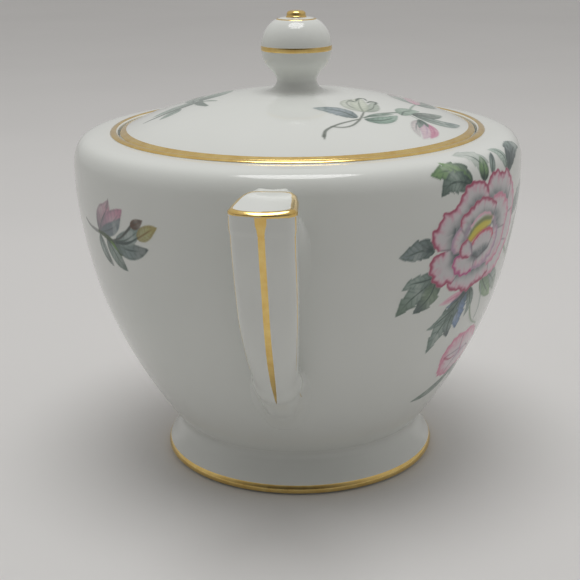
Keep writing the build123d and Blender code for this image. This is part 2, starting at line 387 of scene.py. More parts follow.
def add_node(tree, kind, values, links):
    """A new shader node with some inputs set to values and others linked from sockets."""
    node = tree.nodes.new("ShaderNode" + kind)
    for name, value in values.items():
        node.inputs[name].default_value = value
    for name, socket in links.items():
        tree.links.new(socket, node.inputs[name])
    return node


def noise(tree, scale, detail=3):
    """A noise texture in the object's own coordinates."""
    coordinates = tree.nodes.new("ShaderNodeTexCoord").outputs["Object"]
    values = {"Scale": scale, "Detail": detail}
    return add_node(tree, "TexNoise", values, {"Vector": coordinates}).outputs["Fac"]


def tones(tree, source, dark, light):
    """A colour between two, dark where the source is at most 0.3 and light where it is at least 0.7."""
    node = tree.nodes.new("ShaderNodeValToRGB")
    for element, position, colour in zip(node.color_ramp.elements, (0.3, 0.7), (dark, light)):
        element.position = position
        element.color = (*colour, 1)
    tree.links.new(source, node.inputs["Fac"])
    return node.outputs["Color"]


def remap(tree, source, from_low, from_high, to_low, to_high):
    values = {"From Min": from_low, "From Max": from_high, "To Min": to_low, "To Max": to_high}
    return add_node(tree, "MapRange", values, {"Value": source}).outputs["Result"]


def bump(tree, shader, source, strength, distance):
    node = add_node(tree, "Bump", {"Strength": strength, "Distance": distance}, {"Height": source})
    tree.links.new(node.outputs["Normal"], shader.inputs["Normal"])


def glaze_surface(tree, shader):
    """What every glazed surface shares: gloss with faint unevenness."""
    shader.inputs["IOR"].default_value = 1.52
    tree.links.new(remap(tree, noise(tree, 90, 2), 0.3, 0.7, 0.07, 0.13), shader.inputs["Roughness"])
    bump(tree, shader, noise(tree, 260, 1), 0.06, 0.05 * MM)


def porcelain_tint(tree):
    """The body colour under the glaze, a slightly greenish white."""
    return tones(tree, noise(tree, 22), (0.735, 0.755, 0.72), (0.775, 0.79, 0.76))


def porcelain_material():
    made, tree, shader = material("porcelain_glaze")
    tree.links.new(porcelain_tint(tree), shader.inputs["Base Color"])
    glaze_surface(tree, shader)
    return made


def enamel_material():
    """Painted colours, kept in the mesh's paint attribute as shares of the white below them."""
    made, tree, shader = material("painted_enamel")
    paint = tree.nodes.new("ShaderNodeVertexColor")
    paint.layer_name = "paint"
    over = tree.nodes.new("ShaderNodeMix")
    over.data_type = "RGBA"
    over.blend_type = "MULTIPLY"
    over.inputs["Factor"].default_value = 1.0
    tree.links.new(porcelain_tint(tree), over.inputs["A"])
    tree.links.new(paint.outputs["Color"], over.inputs["B"])
    tree.links.new(over.outputs["Result"], shader.inputs["Base Color"])
    glaze_surface(tree, shader)
    return made


def gilt_material():
    """Burnished gold film: warm, nearly mirror bright, with faint brush wear."""
    made, tree, shader = material("burnished_gilt")
    shader.inputs["Metallic"].default_value = 1.0
    colour = tones(tree, noise(tree, 420), (0.77, 0.52, 0.17), (0.88, 0.66, 0.26))
    tree.links.new(colour, shader.inputs["Base Color"])
    wear = noise(tree, 1300)
    tree.links.new(remap(tree, wear, 0.35, 0.7, 0.10, 0.2), shader.inputs["Roughness"])
    bump(tree, shader, wear, 0.08, 0.03 * MM)
    return made


def floor_material():
    made, tree, shader = material("studio_floor")
    shader.inputs["Roughness"].default_value = 0.55
    colour = tones(tree, noise(tree, 6, 2), (0.70, 0.69, 0.68), (0.72, 0.71, 0.70))
    tree.links.new(colour, shader.inputs["Base Color"])
    return made


PORCELAIN = porcelain_material()
GILT = gilt_material()
ENAMEL = enamel_material()


def finish_piece(piece, body, nodes, made):
    """Gives a piece its material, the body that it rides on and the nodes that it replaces."""
    piece.data.materials.append(made)
    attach(piece, body)
    if nodes:
        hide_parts(*nodes)


# ---------------------------------------------------------------- turned pieces
BOWL_BODY, LID_BODY = "bowl_body", "lid_body"
finish_piece(make_bowl(), BOWL_BODY, ["bowl"], PORCELAIN)
finish_piece(make_foot(), BOWL_BODY, ["pedestal_foot"], PORCELAIN)
finish_piece(make_lid(), LID_BODY, ["lid"], PORCELAIN)
finish_piece(make_knob(), LID_BODY, ["lid_knob"], PORCELAIN)
finish_piece(make_button(), LID_BODY, ["knob_gold_button"], GILT)

foot_edge = chain(arc(*FOOT_ROUND, 16), spline(FOOT_SIDE, start=(-0.1, 1), step=0.1))
bead, dome, knob = fine(bead_outline(), 0.08), fine(dome_outline(), 0.08), fine(knob_outline(), 0.1)
gilt_rings = {
    "foot_gold_band": (BOWL_BODY, between(fine(foot_edge, 0.12), low_z=0.35, high_z=2.5)),
    "rim_gold_band": (BOWL_BODY, between(bead, low_r=43.15, high_r=44.75)),
    "lid_gold_band": (LID_BODY, between(dome, low_r=40.8, high_r=42.4, low_z=LID_EDGE_Z)),
    "knob_gold_band": (LID_BODY, between(knob, low_z=KNOB_Z - 0.5, high_z=KNOB_Z + 0.7)),
    "knob_crown_gold_line": (LID_BODY, between(knob, low_z=105, low_r=4.2, high_r=4.9)),
}
for node, (body, curve) in gilt_rings.items():
    finish_piece(gilt_ring(node.replace("gold", "gilt"), curve), body, [node], GILT)


# ---------------------------------------------------------------- handles, from a distance field
WALL_CURVE = chain((0, WAIST_Z), wall_outline(), (MOUTH_R, SHOULDER_Z), (0, SHOULDER_Z))
STRAP_UPPER = [(72.3, 78.5), (71.0, 70.5), (68.1, 61.5), (65.1, 52.4)]
STRAP_LOWER = [(60.6, 43.4), (52.8, 33.0), (44.0, 25.0), (36, 20)]
STRAP_PATH = spline(STRAP_UPPER + STRAP_LOWER, step=0.4)
EDGE_ROUND = 1.7
CROWN = 1.7
SKIN_PROUD = 0.01
HIDDEN_DEPTH = 1.0
PLATE_THICKNESS = 5.0
PLATE_CORNER = 1.3
PLATE_ROUND = 0.9
PLATE_DISH = 0.25
ROOT_END_BLEND = 2.5
UPPER_ROOT = ((52.6, 66.0, 7.0, 8.0), (59.5, 73.2, 4.8, 3.4))
UPPER_ROOT_TOP_Z = PLATE_Z - 3.0
LOWER_ROOT = ((41.0, 30.2, 5.6, 4.6), (51.0, 35.4, 4.6, 3.6))
PLATE_BLEND, UPPER_BLEND, LOWER_BLEND = 0.7, 2.0, 2.6
HANDLE_BOX = ((35, -13, 14), (75, 13, 81))
HANDLE_PITCH = 0.55

# widths that vary: the heights (or the distances out, for the plate) and the width at each
WALL_BLENDS = ([26, 40, PLATE_Z - 6, PLATE_Z - 3.5], [1.6, 0.9, 0.9, 0.2])
STRAP_THICKNESS = ([25, 38, 46, 66, 78], [6.4, 5.2, 4.5, 4.6, 5.2])
STRAP_HALF_WIDTHS = ([20, 33, 43.4, 52.4, 61.5, 72.0, 79.0], [4.2, 4.6, 5.6, 6.2, 6.45, 6.5, 6.5])
PLATE_HALF_WIDTHS = ([50, 52.6, 54.6, 57.5, 62, 67, 73.3], [1.5, 3.2, 4.4, 5.5, 6.2, 6.5, 6.5])


def nearest_on(curve, a, b):
    """Index of the curve's nearest point to each (a, b)."""
    gap = (a[:, None] - curve[None, :, 0]) ** 2 + (b[:, None] - curve[None, :, 1]) ** 2
    return np.argmin(gap, axis=1)


def side_distance(curve, a, b):
    """Signed distance to a curve, positive on the right of its direction, and the nearest point's index."""
    index = nearest_on(curve, a, b)
    best = np.full(len(a), 1e9)
    signed = np.zeros(len(a))
    for shift in (-1, 0):
        i = np.clip(index + shift, 0, len(curve) - 2)
        step = curve[i + 1] - curve[i]
        length = np.linalg.norm(step, axis=1)
        sa, sb = (step / length[:, None]).T
        da = a - curve[i, 0]
        db = b - curve[i, 1]
        t = np.clip(da * sa + db * sb, 0, length)
        distance = np.hypot(da - t * sa, db - t * sb)
        side = np.where(sb * da - sa * db >= 0, 1.0, -1.0)
        closer = distance < best
        best = np.where(closer, distance, best)
        signed = np.where(closer, side * distance, signed)
    return signed, index


def rounded(q1, q2, radius):
    """Distance to a rounded box's side, given the distances past its two faces."""
    a = q1 + radius
    b = q2 + radius
    outside = np.hypot(np.maximum(a, 0), np.maximum(b, 0))
    return outside + np.minimum(np.maximum(a, b), 0) - radius


def blend(a, b, width):
    """The smaller of two distances, with a fillet of about the given width where they meet."""
    h = np.clip(0.5 + 0.5 * (b - a) / width, 0, 1)
    return b + (a - b) * h - width * h * (1 - h)


def wall_distance(x, y, z):
    return side_distance(WALL_CURVE, np.hypot(x, y), z)[0]


def strap_half_width(z):
    return np.interp(z, *STRAP_HALF_WIDTHS)


def past_outer_face(x, y, z):
    """How far a point is past the strap's crowned outer face, its depth behind the path, and its level."""
    depth, index = side_distance(STRAP_PATH, x, z)
    level = STRAP_PATH[index, 1]
    crown = CROWN * np.minimum(np.abs(y) / strap_half_width(level), 1.2) ** 2.2
    return crown - depth, depth, level


def strap_distance(x, y, z):
    """The strap: a slab that follows its path."""
    outer, depth, level = past_outer_face(x, y, z)
    thick = np.interp(level, *STRAP_THICKNESS)
    beside = np.abs(y) - strap_half_width(level)
    distance = rounded(np.maximum(outer, depth - thick), beside, EDGE_ROUND)
    return np.maximum(distance, z - (PLATE_Z - PLATE_ROUND))


def plate_distance(x, y, z):
    """The thumb plate: level on top, with the strap's own crowned face as its end."""
    half = np.interp(x, *PLATE_HALF_WIDTHS)
    outer, _, _ = past_outer_face(x, y, z)
    plan = rounded(outer, np.abs(y) - half, PLATE_CORNER)
    dish = PLATE_DISH * (1 - np.minimum(np.abs(y) / half, 1) ** 2)
    return rounded(plan, np.maximum(z - PLATE_Z + dish, PLATE_Z - PLATE_THICKNESS - z), PLATE_ROUND)


def root_distance(x, y, z, near, far):
    """A root that narrows away from the wall: each end is (x, centre z, half width, half height)."""
    share = np.clip((x - near[0]) / (far[0] - near[0]), -0.4, 1)
    curve = 1 - (1 - share) ** 2 * np.sign(1 - share)
    ease = np.where(share > 0, curve, 2 * share)
    centre, wide, tall = (near[k] + (far[k] - near[k]) * ease for k in (1, 2, 3))
    ring = np.sqrt((y / wide) ** 2 + ((z - centre) / tall) ** 2)
    return -blend((1 - ring) * np.minimum(wide, tall), far[0] - x, ROOT_END_BLEND)


def handle_distance(x, y, z):
    """The whole handle: strap, thumb plate, and both roots filleted on to them."""
    upper = -blend(-root_distance(x, y, z, *UPPER_ROOT), UPPER_ROOT_TOP_Z - z, UPPER_BLEND)
    whole = blend(strap_distance(x, y, z), plate_distance(x, y, z), PLATE_BLEND)
    whole = blend(whole, upper, UPPER_BLEND)
    return blend(whole, root_distance(x, y, z, *LOWER_ROOT), LOWER_BLEND)


def fused_distance(points):
    """The handle filleted to the wall, the bare handle, the wall and the fillet's width."""
    free = handle_distance(*points.T)
    wall = wall_distance(*points.T)
    width = np.interp(points[:, Z], *WALL_BLENDS)
    return blend(free, wall, width), free, wall, width


def handle_surface(points):
    return fused_distance(points)[0]


def handle_solid(points):
    """The closed handle piece: fused to the wall, with a short hidden root inside it."""
    fused, free, wall, width = fused_distance(points)
    return np.maximum(np.maximum(fused - SKIN_PROUD, -(wall + HIDDEN_DEPTH)), free - width)


def gradient(field, points, step=0.02):
    out = np.zeros_like(points)
    for axis in (X, Y, Z):
        shift = np.zeros(3)
        shift[axis] = step
        out[:, axis] = (field(points + shift) - field(points - shift)) / (2 * step)
    return out


def settle(field, points, rounds=4, reach=0.6):
    """Moves points onto the surface where the field is zero."""
    points = points.copy()
    for _ in range(rounds):
        value = field(points)
        slope = gradient(field, points)
        scale = value / np.maximum((slope**2).sum(1), 0.05)
        points -= np.clip(scale, -reach, reach)[:, None] * slope
    return points


def in_chunks(field, points, size=60000):
    return np.concatenate([field(points[i : i + size]) for i in range(0, len(points), size)])


def surface_net(field, low_corner, high_corner, pitch):
    """A closed quad mesh of the field's zero surface, with one vertex for each cell that it crosses."""
    axes = [np.arange(a, b + pitch, pitch) for a, b in zip(low_corner, high_corner)]
    shape = tuple(len(a) for a in axes)
    grid = np.stack(np.meshgrid(*axes, indexing="ij"), -1).reshape(-1, 3)
    inside = (in_chunks(field, grid) < 0).reshape(shape)
    cells = np.zeros(tuple(n - 1 for n in shape), int)
    for corner_at in np.ndindex(2, 2, 2):
        window = tuple(slice(c, c + n - 1) for c, n in zip(corner_at, shape))
        cells += inside[window]
    crossed = (cells > 0) & (cells < 8)
    number = -np.ones(crossed.shape, int)
    number[crossed] = np.arange(crossed.sum())
    where = np.argwhere(crossed)
    middle = np.array(low_corner) + (where + 0.5) * pitch
    faces = []
    for axis in (X, Y, Z):
        one, two = [a for a in (X, Y, Z) if a != axis]
        front = [slice(None)] * 3
        back = [slice(None)] * 3
        front[axis] = slice(0, -1)
        back[axis] = slice(1, None)
        change = inside[tuple(front)] != inside[tuple(back)]
        edges = np.argwhere(change)
        keep = (edges[:, one] > 0) & (edges[:, two] > 0)
        keep &= (edges[:, one] < shape[one] - 1) & (edges[:, two] < shape[two] - 1)
        edges = edges[keep]
        corners = []
        for step_one, step_two in ((1, 1), (0, 1), (0, 0), (1, 0)):
            cell = edges.copy()
            cell[:, one] -= step_one
            cell[:, two] -= step_two
            corners.append(number[tuple(cell.T)])
        faces.append(np.stack(corners, 1))
    return settle(field, middle), np.concatenate(faces)


HANDLE_VERTICES, HANDLE_FACES = surface_net(handle_solid, *HANDLE_BOX, HANDLE_PITCH)


def half_turn(vertices):
    """The same points on the opposite side of the bowl."""
    return np.asarray(vertices) * np.array([-1, -1, 1])


def surface_strip(x, y, z, proud=GILT_PROUD):
    """A thin closed strip on the handle: the coordinates give rows of points across it, one row per step."""
    guess = np.stack(np.broadcast_arrays(x, y, z), -1)
    rows, columns = guess.shape[:2]
    points = settle(handle_surface, guess.reshape(-1, 3))
    outward = gradient(handle_surface, points)
    outward /= np.linalg.norm(outward, axis=1)[:, None]
    across = np.linspace(-1, 1, columns)
    lift = proud * np.sqrt(np.clip(1 - np.abs(across) ** 6, 0, 1))
    top = points + outward * np.tile(lift, rows)[:, None]
    under = points - outward * GILT_DEPTH
    return closed_sheet(top, under, rows, columns)


def closed_sheet(top, under, rows, columns):
    """Vertices and faces of two grids of points, one above the other, walled all round."""
    grid = np.arange(rows * columns).reshape(rows, columns)
    base = grid + rows * columns
    faces = []
    for i in range(rows - 1):
        for j in range(columns - 1):
            faces.append((grid[i, j], grid[i, j + 1], grid[i + 1, j + 1], grid[i + 1, j]))
            faces.append((base[i, j], base[i + 1, j], base[i + 1, j + 1], base[i, j + 1]))
    rim = [*grid[0, :], *grid[1:, -1], *grid[-1, -2::-1], *grid[-2:0:-1, 0]]
    for one, two in zip(rim, rim[1:] + rim[:1]):
        faces.append((one, one + rows * columns, two + rows * columns, two))
    return np.vstack([top, under]), faces


def strap_edge_x(z):
    return np.interp(z, STRAP_PATH[::-1, 1], STRAP_PATH[::-1, 0])


def spine_strip():
    """The tapering line down the middle of the strap, with a wider head under the plate's edge."""
    levels = [30.5, 33, 37, 43, 73.6, 74.4, 75.4, 76.9]
    half_widths = [0.04, 0.28, 0.54, 0.68, 0.72, 0.85, 1.15, 1.22]
    z = np.linspace(levels[-1], levels[0], 150)[:, None]
    return surface_strip(strap_edge_x(z), np.interp(z, levels, half_widths) * np.linspace(-1, 1, 9), z)


def plate_edge_strip():
    """The line round the thumb plate, which wraps on to its sides and end and thins at the wall."""
    side = [(54.5, 0.01), (54.75, 2.4), (55.8, 4.1), (57.8, 5.15), (62, 5.9), (67, 6.25), (69.6, 6.1)]
    side += [(70.9, 4.9), (71.65, 2.6), (71.95, 0)]
    path = spline(side + [(x, -y) for x, y in side[-2::-1]], step=0.3)
    outward = -normals_of(path)
    outward *= np.sign((outward * (path - np.array([63, 0]))).sum(1))[:, None]
    ease = np.clip((path[:, 0] - 54.6) / 5, 0.0, 1)
    on_top = np.where(path[:, 1] > 0, 0.25 + 0.9 * ease, 0.25 + 0.45 * ease)
    down = np.where(path[:, 1] > 0, 1.35, 1.05) * ease
    out = 0.1 + 0.3 * ease
    across = np.linspace(-1, 1, 11)
    shift = np.stack([np.where(t < 0, t * on_top, out * min(t * 3, 1)) for t in across], 1)
    x, y = (path[:, k, None] + outward[:, k, None] * shift for k in (0, 1))
    return surface_strip(x, y, PLATE_Z - np.maximum(across, 0) * down[:, None])


def edge_line_strip(side, top_z=76.6, bottom_z=40.0):
    """The hair line down one edge of the strap, thinning out towards the lower root."""
    z = np.linspace(top_z, bottom_z, 110)[:, None]
    half = np.interp(z, [bottom_z, bottom_z + 12, top_z - 8, top_z], [0.03, 0.10, 0.15, 0.24])
    spread = 0.7 * half * np.linspace(-1, 1, 5)
    x = strap_edge_x(z) - CROWN - 0.45 - spread
    return surface_strip(x, side * (strap_half_width(z) - 0.1 + spread), z, HAIR_PROUD)


def root_stroke_strip(side):
    """The short brush stroke on the lower root, where the edge line ends."""
    t = np.linspace(0, 1, 16)[:, None]
    half = 0.28 * np.sin(np.pi * np.clip(t, 0.02, 0.98)) ** 0.6
    spread = half * np.linspace(-1, 1, 5)
    y = side * (5.0 + 1.2 * t + 0.8 * spread)
    return surface_strip(48.0 - 3.0 * t + 0.4 * spread, y, 32.0 - 3.4 * t + 0.4 * spread, HAIR_PROUD)


def merged(*parts):
    """Several closed meshes as one list of vertices and faces."""
    vertices = []
    faces = []
    for points, polygons in parts:
        start = sum(len(v) for v in vertices)
        vertices.append(points)
        faces.extend(tuple(np.array(polygon) + start) for polygon in polygons)
    return np.vstack(vertices), faces


SPINE = spine_strip()
HAIR_LINES = [make(side) for make in (edge_line_strip, root_stroke_strip) for side in (1, -1)]
PLATE_EDGE = merged(plate_edge_strip(), *HAIR_LINES)
for side, place in (("right", np.asarray), ("left", half_turn)):
    handle = new_object(f"handle_{side}_porcelain", place(HANDLE_VERTICES), HANDLE_FACES)
    finish_piece(handle, BOWL_BODY, [f"handle_{side}"], PORCELAIN)
    for (points, polygons), gilt in ((SPINE, "spine"), (PLATE_EDGE, "plate_edge")):
        line = new_object(f"handle_{side}_gilt_{gilt}", place(points), polygons)
        finish_piece(line, BOWL_BODY, [f"handle_{side}_gold_{gilt}"], GILT)


# ---------------------------------------------------------------- brushwork on a plane, in millimetres
PAPER = (0.885, 0.90, 0.885)
WHITE = (0.82, 0.81, 0.82)
CRIMSON = (0.65, 0.28, 0.39)
ROSE = (0.84, 0.52, 0.63)
PINK = (0.90, 0.71, 0.78)
MAUVE = (0.70, 0.60, 0.70)
SLATE = (0.36, 0.41, 0.42)
BLUE = (0.47, 0.57, 0.72)
SAGE = (0.59, 0.66, 0.63)
MOSS = (0.53, 0.61, 0.52)
GREEN = (0.50, 0.64, 0.43)
INK = (0.24, 0.31, 0.29)
YELLOW = (0.85, 0.80, 0.30)
BROWN = (0.40, 0.30, 0.24)
PINE = (0.45, 0.53, 0.47)
FERN = (0.52, 0.64, 0.50)
DEW = (0.60, 0.67, 0.63)
STONE = (0.40, 0.44, 0.40)
LILAC = (0.72, 0.66, 0.72)
BLUSH = (0.86, 0.80, 0.825)
PETAL_SIDE = (0.42, 0.38, 0.42)

LEAF_EDGE = 0.22
LEAF_RIBS = 7
VEIN_STRENGTH = 0.42
PETAL_EDGE = 0.2
PETAL_RIM_STRENGTH = 0.95


def smooth(low, high, x):
    """From 0 at low to 1 at high, level at both ends."""
    t = np.clip((x - low) / (high - low), 0, 1)
    return t * t * (3 - 2 * t)


def grain(u, v, scale, seed):
    """Smooth random values between 0 and 1 over the plane."""
    a = u * scale
    b = v * scale
    i = np.floor(a).astype(np.int64)
    j = np.floor(b).astype(np.int64)
    fa = smooth(0, 1, a - i)
    fb = smooth(0, 1, b - j)

    def at(p, q):
        n = (p * 374761393 + q * 668265263 + seed * 974711) & 0x7FFFFFFF
        n = ((n ^ (n >> 13)) * 1274126177) & 0x7FFFFFFF
        return ((n ^ (n >> 16)) & 0xFFFF) / 65535.0

    low = at(i, j) * (1 - fa) + at(i + 1, j) * fa
    high = at(i, j + 1) * (1 - fa) + at(i + 1, j + 1) * fa
    return low * (1 - fb) + high * fb


def curve_through(points, count):
    """Points along a smooth curve through the given ones."""
    p = np.array(points, float)
    if len(p) == 2:
        return p[0] + (p[1] - p[0]) * np.linspace(0, 1, count)[:, None]
    padded = np.vstack([2 * p[0] - p[1], p, 2 * p[-1] - p[-2]])
    out = []
    t = np.linspace(0, 1, max(3, count // (len(p) - 1)), endpoint=False)[:, None]
    for a, b, c, d in zip(padded, padded[1:], padded[2:], padded[3:]):
        bend = (2 * a - 5 * b + 4 * c - d) * t**2 + (3 * b - a - 3 * c + d) * t**3
        out.append(0.5 * (2 * b + (c - a) * t + bend))
    return np.vstack([*out, p[-1:]])


def along_curve(curve, u, v):
    """For each point: its share of the way along the curve, and its distance, positive on the left."""
    steps = np.diff(curve, axis=0)
    lengths = np.linalg.norm(steps, axis=1)
    before = np.concatenate([[0], np.cumsum(lengths)])
    best = np.full(len(u), 1e9)
    share = np.zeros(len(u))
    signed = np.zeros(len(u))
    for start, step, length, run in zip(curve, steps, lengths, before):
        du = u - start[0]
        dv = v - start[1]
        t = np.clip((du * step[0] + dv * step[1]) / length**2, 0, 1)
        gap = np.hypot(du - t * step[0], dv - t * step[1])
        near = gap < best
        best = np.where(near, gap, best)
        share = np.where(near, (run + t * length) / before[-1], share)
        side = np.where(step[0] * dv - step[1] * du >= 0, 1.0, -1.0)
        signed = np.where(near, side * gap, signed)
    return share, signed


def within(outline, u, v):
    """Which points lie inside a closed outline."""
    inside = np.zeros(len(u), bool)
    for a, b in zip(outline, np.roll(outline, -1, axis=0)):
        crosses = (a[1] > v) != (b[1] > v)
        rise = b[1] - a[1] if b[1] != a[1] else 1e-9
        inside ^= crosses & (u < a[0] + (v - a[1]) / rise * (b[0] - a[0]))
    return inside


class Painting:
    """Colours laid one over another on points (u, v), in millimetres of the surface."""

    def __init__(self, u, v, seed):
        self.u = np.asarray(u, float)
        self.v = np.asarray(v, float)
        self.colour = np.tile(PAPER, (len(self.u), 1))
        self.cover = np.zeros(len(self.u))
        self.seed = seed
        everywhere = slice(None)
        self.wash = 0.82 + 0.216 * self.grain(everywhere, 1.1, 0) + 0.1 * self.grain(everywhere, 3.7, 1)

    def grain(self, at, scale, shift):
        return grain(self.u[at], self.v[at], scale, self.seed + shift)

    def lay(self, colour, amount, at):
        """Mixes a colour over the points at the given places."""
        amount = np.clip(amount, 0, 1)[:, None]
        self.colour[at] = self.colour[at] * (1 - amount) + np.asarray(colour, float) * amount
        self.cover[at] = np.maximum(self.cover[at], amount[:, 0])

    def near(self, points, margin):
        """Which points lie in the given ones' box, grown by a margin, and where they are."""
        (u0, v0), (u1, v1) = points.min(0) - margin, points.max(0) + margin
        at = np.flatnonzero((self.u > u0) & (self.u < u1) & (self.v > v0) & (self.v < v1))
        return at, self.u[at], self.v[at]

    def stroke(self, points, widths, colour, strength=0.9, soft=0.16):
        """A brush line whose half width follows the given widths."""
        curve = curve_through(points, 36)
        at, u, v = self.near(curve, max(widths) + 1)
        share, signed = along_curve(curve, u, v)
        half = np.interp(share, np.linspace(0, 1, len(widths)), widths)
        mark = smooth(half + soft, half - soft, np.abs(signed)) * np.clip(half / soft, 0, 1)
        self.lay(colour, mark * strength, at)

    def leaf(self, spine, width, body, shade=INK, tip=None, teeth=0.0, dark=0.5, base_dark=0.6,
             lean=0.0, strength=0.93, round_end=0.75):
        """A leaf round its midrib: veins, darker edges and base, and an optional tint towards the tip."""
        curve = curve_through(spine, 36)
        at, u, v = self.near(curve, width + 1)
        share, signed = along_curve(curve, u, v)
        length = np.linalg.norm(np.diff(curve, axis=0), axis=1).sum()
        half = width * np.sin(np.pi * share**round_end) ** 0.8
        half = half * (1 + lean * np.sign(signed))
        if teeth:
            saw = (share * 4.2 + 0.25 * np.sign(signed) + 0.3) % 1
            half = half * (1 + 0.25 * teeth - 1.3 * teeth * saw)
        gap = np.abs(signed)
        mark = smooth(half + LEAF_EDGE, half - LEAF_EDGE, gap)
        self.lay(body, mark * strength * np.clip(self.wash[at], 0, 1), at)
        if tip is not None:
            self.lay(tip, mark * smooth(0.35, 0.95, share) * 0.85, at)
        veins = mark * VEIN_STRENGTH * dark
        rib = np.abs(((share * LEAF_RIBS - gap / length * 5) % 1) - 0.5) * 2
        self.lay(shade, veins * smooth(0.62, 1.0, rib) * smooth(0.15, 0.6, gap), at)
        rim = smooth(half - 0.75, half - 0.02, gap)
        self.lay(shade, veins * rim * (0.5 + self.grain(at, 0.9, 5)), at)
        base = smooth(0.55, 0.0, share) * base_dark * dark
        self.lay(shade, mark * base * (0.6 + 0.6 * self.grain(at, 1.6, 7)), at)
        midrib = smooth(0.3, 0.05, gap) * smooth(0.95, 0.5, share)
        self.lay(shade, mark * midrib * 0.75, at)
        bloom = smooth(0.45, 0.85, self.grain(at, 0.55, 11)) * smooth(0.25, 0.6, share)
        self.lay(PAPER, mark * bloom * 0.30, at)

    def petal(self, edge, base, rim=CRIMSON, body=WHITE, shade=SLATE, rim_width=1.0, shade_reach=0.5,
              ruffle=0.35, streaks=10):
        """A petal between its ruffled edge and its base: coloured rim, pale body and shaded streaks."""
        edge = curve_through(edge, 60)
        base = np.array(base, float)
        sideways = normals_of(edge)
        if ((edge - base.mean(0)) * sideways).sum() < 0:
            sideways = -sideways
        run = np.concatenate([[0], np.cumsum(np.linalg.norm(np.diff(edge, axis=0), axis=1))])
        phase = self.seed + edge[0, 0]
        wave = np.abs(np.sin(run * 1.15 + phase)) ** 0.6 + 0.4 * np.sin(run * 2.9 + phase * 2)
        fade = np.clip(np.minimum(run, run[-1] - run) / 1.5, 0, 1)
        edge = edge + sideways * (ruffle * (wave - 0.6) * fade)[:, None]
        outline = np.vstack([edge, base])
        at, u, v = self.near(outline, 1)
        border = np.abs(along_curve(np.vstack([outline, outline[:1]]), u, v)[1])
        inward = np.where(within(outline, u, v), border, -border)
        mark = smooth(-PETAL_EDGE, PETAL_EDGE, inward)
        share, depth = along_curve(edge, u, v)
        depth = np.abs(depth)
        from_base = np.abs(along_curve(np.vstack([base, base[:1] + 0.01]), u, v)[1])
        fraction = depth / (depth + from_base + 1e-6)
        self.lay(body, mark, at)
        ray = np.abs(((share * streaks + 0.35 * self.grain(at, 0.7, 0)) % 1) - 0.5) * 2
        wash = self.grain(at, 0.8, 3)
        inner = smooth(0.95 - shade_reach, 0.95, fraction)
        self.lay(shade, mark * inner * (0.45 + 0.6 * ray) * (0.7 + 0.6 * wash), at)
        flare = smooth(0.55, 1.0, ray) * smooth(rim_width * 3.4, rim_width * 0.6, depth)
        self.lay(ROSE, mark * flare * 0.42 * (0.5 + wash), at)
        glow = smooth(rim_width * 2.2, 0.0, depth)
        self.lay(PINK, mark * glow * 0.7, at)
        uneven = depth * (0.6 + 0.9 * self.grain(at, 1.3, 9))
        line = smooth(rim_width * 1.25, 0.1 * rim_width, uneven)
        self.lay(rim, mark * line * PETAL_RIM_STRENGTH, at)
        sides = smooth(0.55, 0.05, border) * smooth(0.4, 1.2, depth)
        self.lay(PETAL_SIDE, mark * sides * 0.65, at)


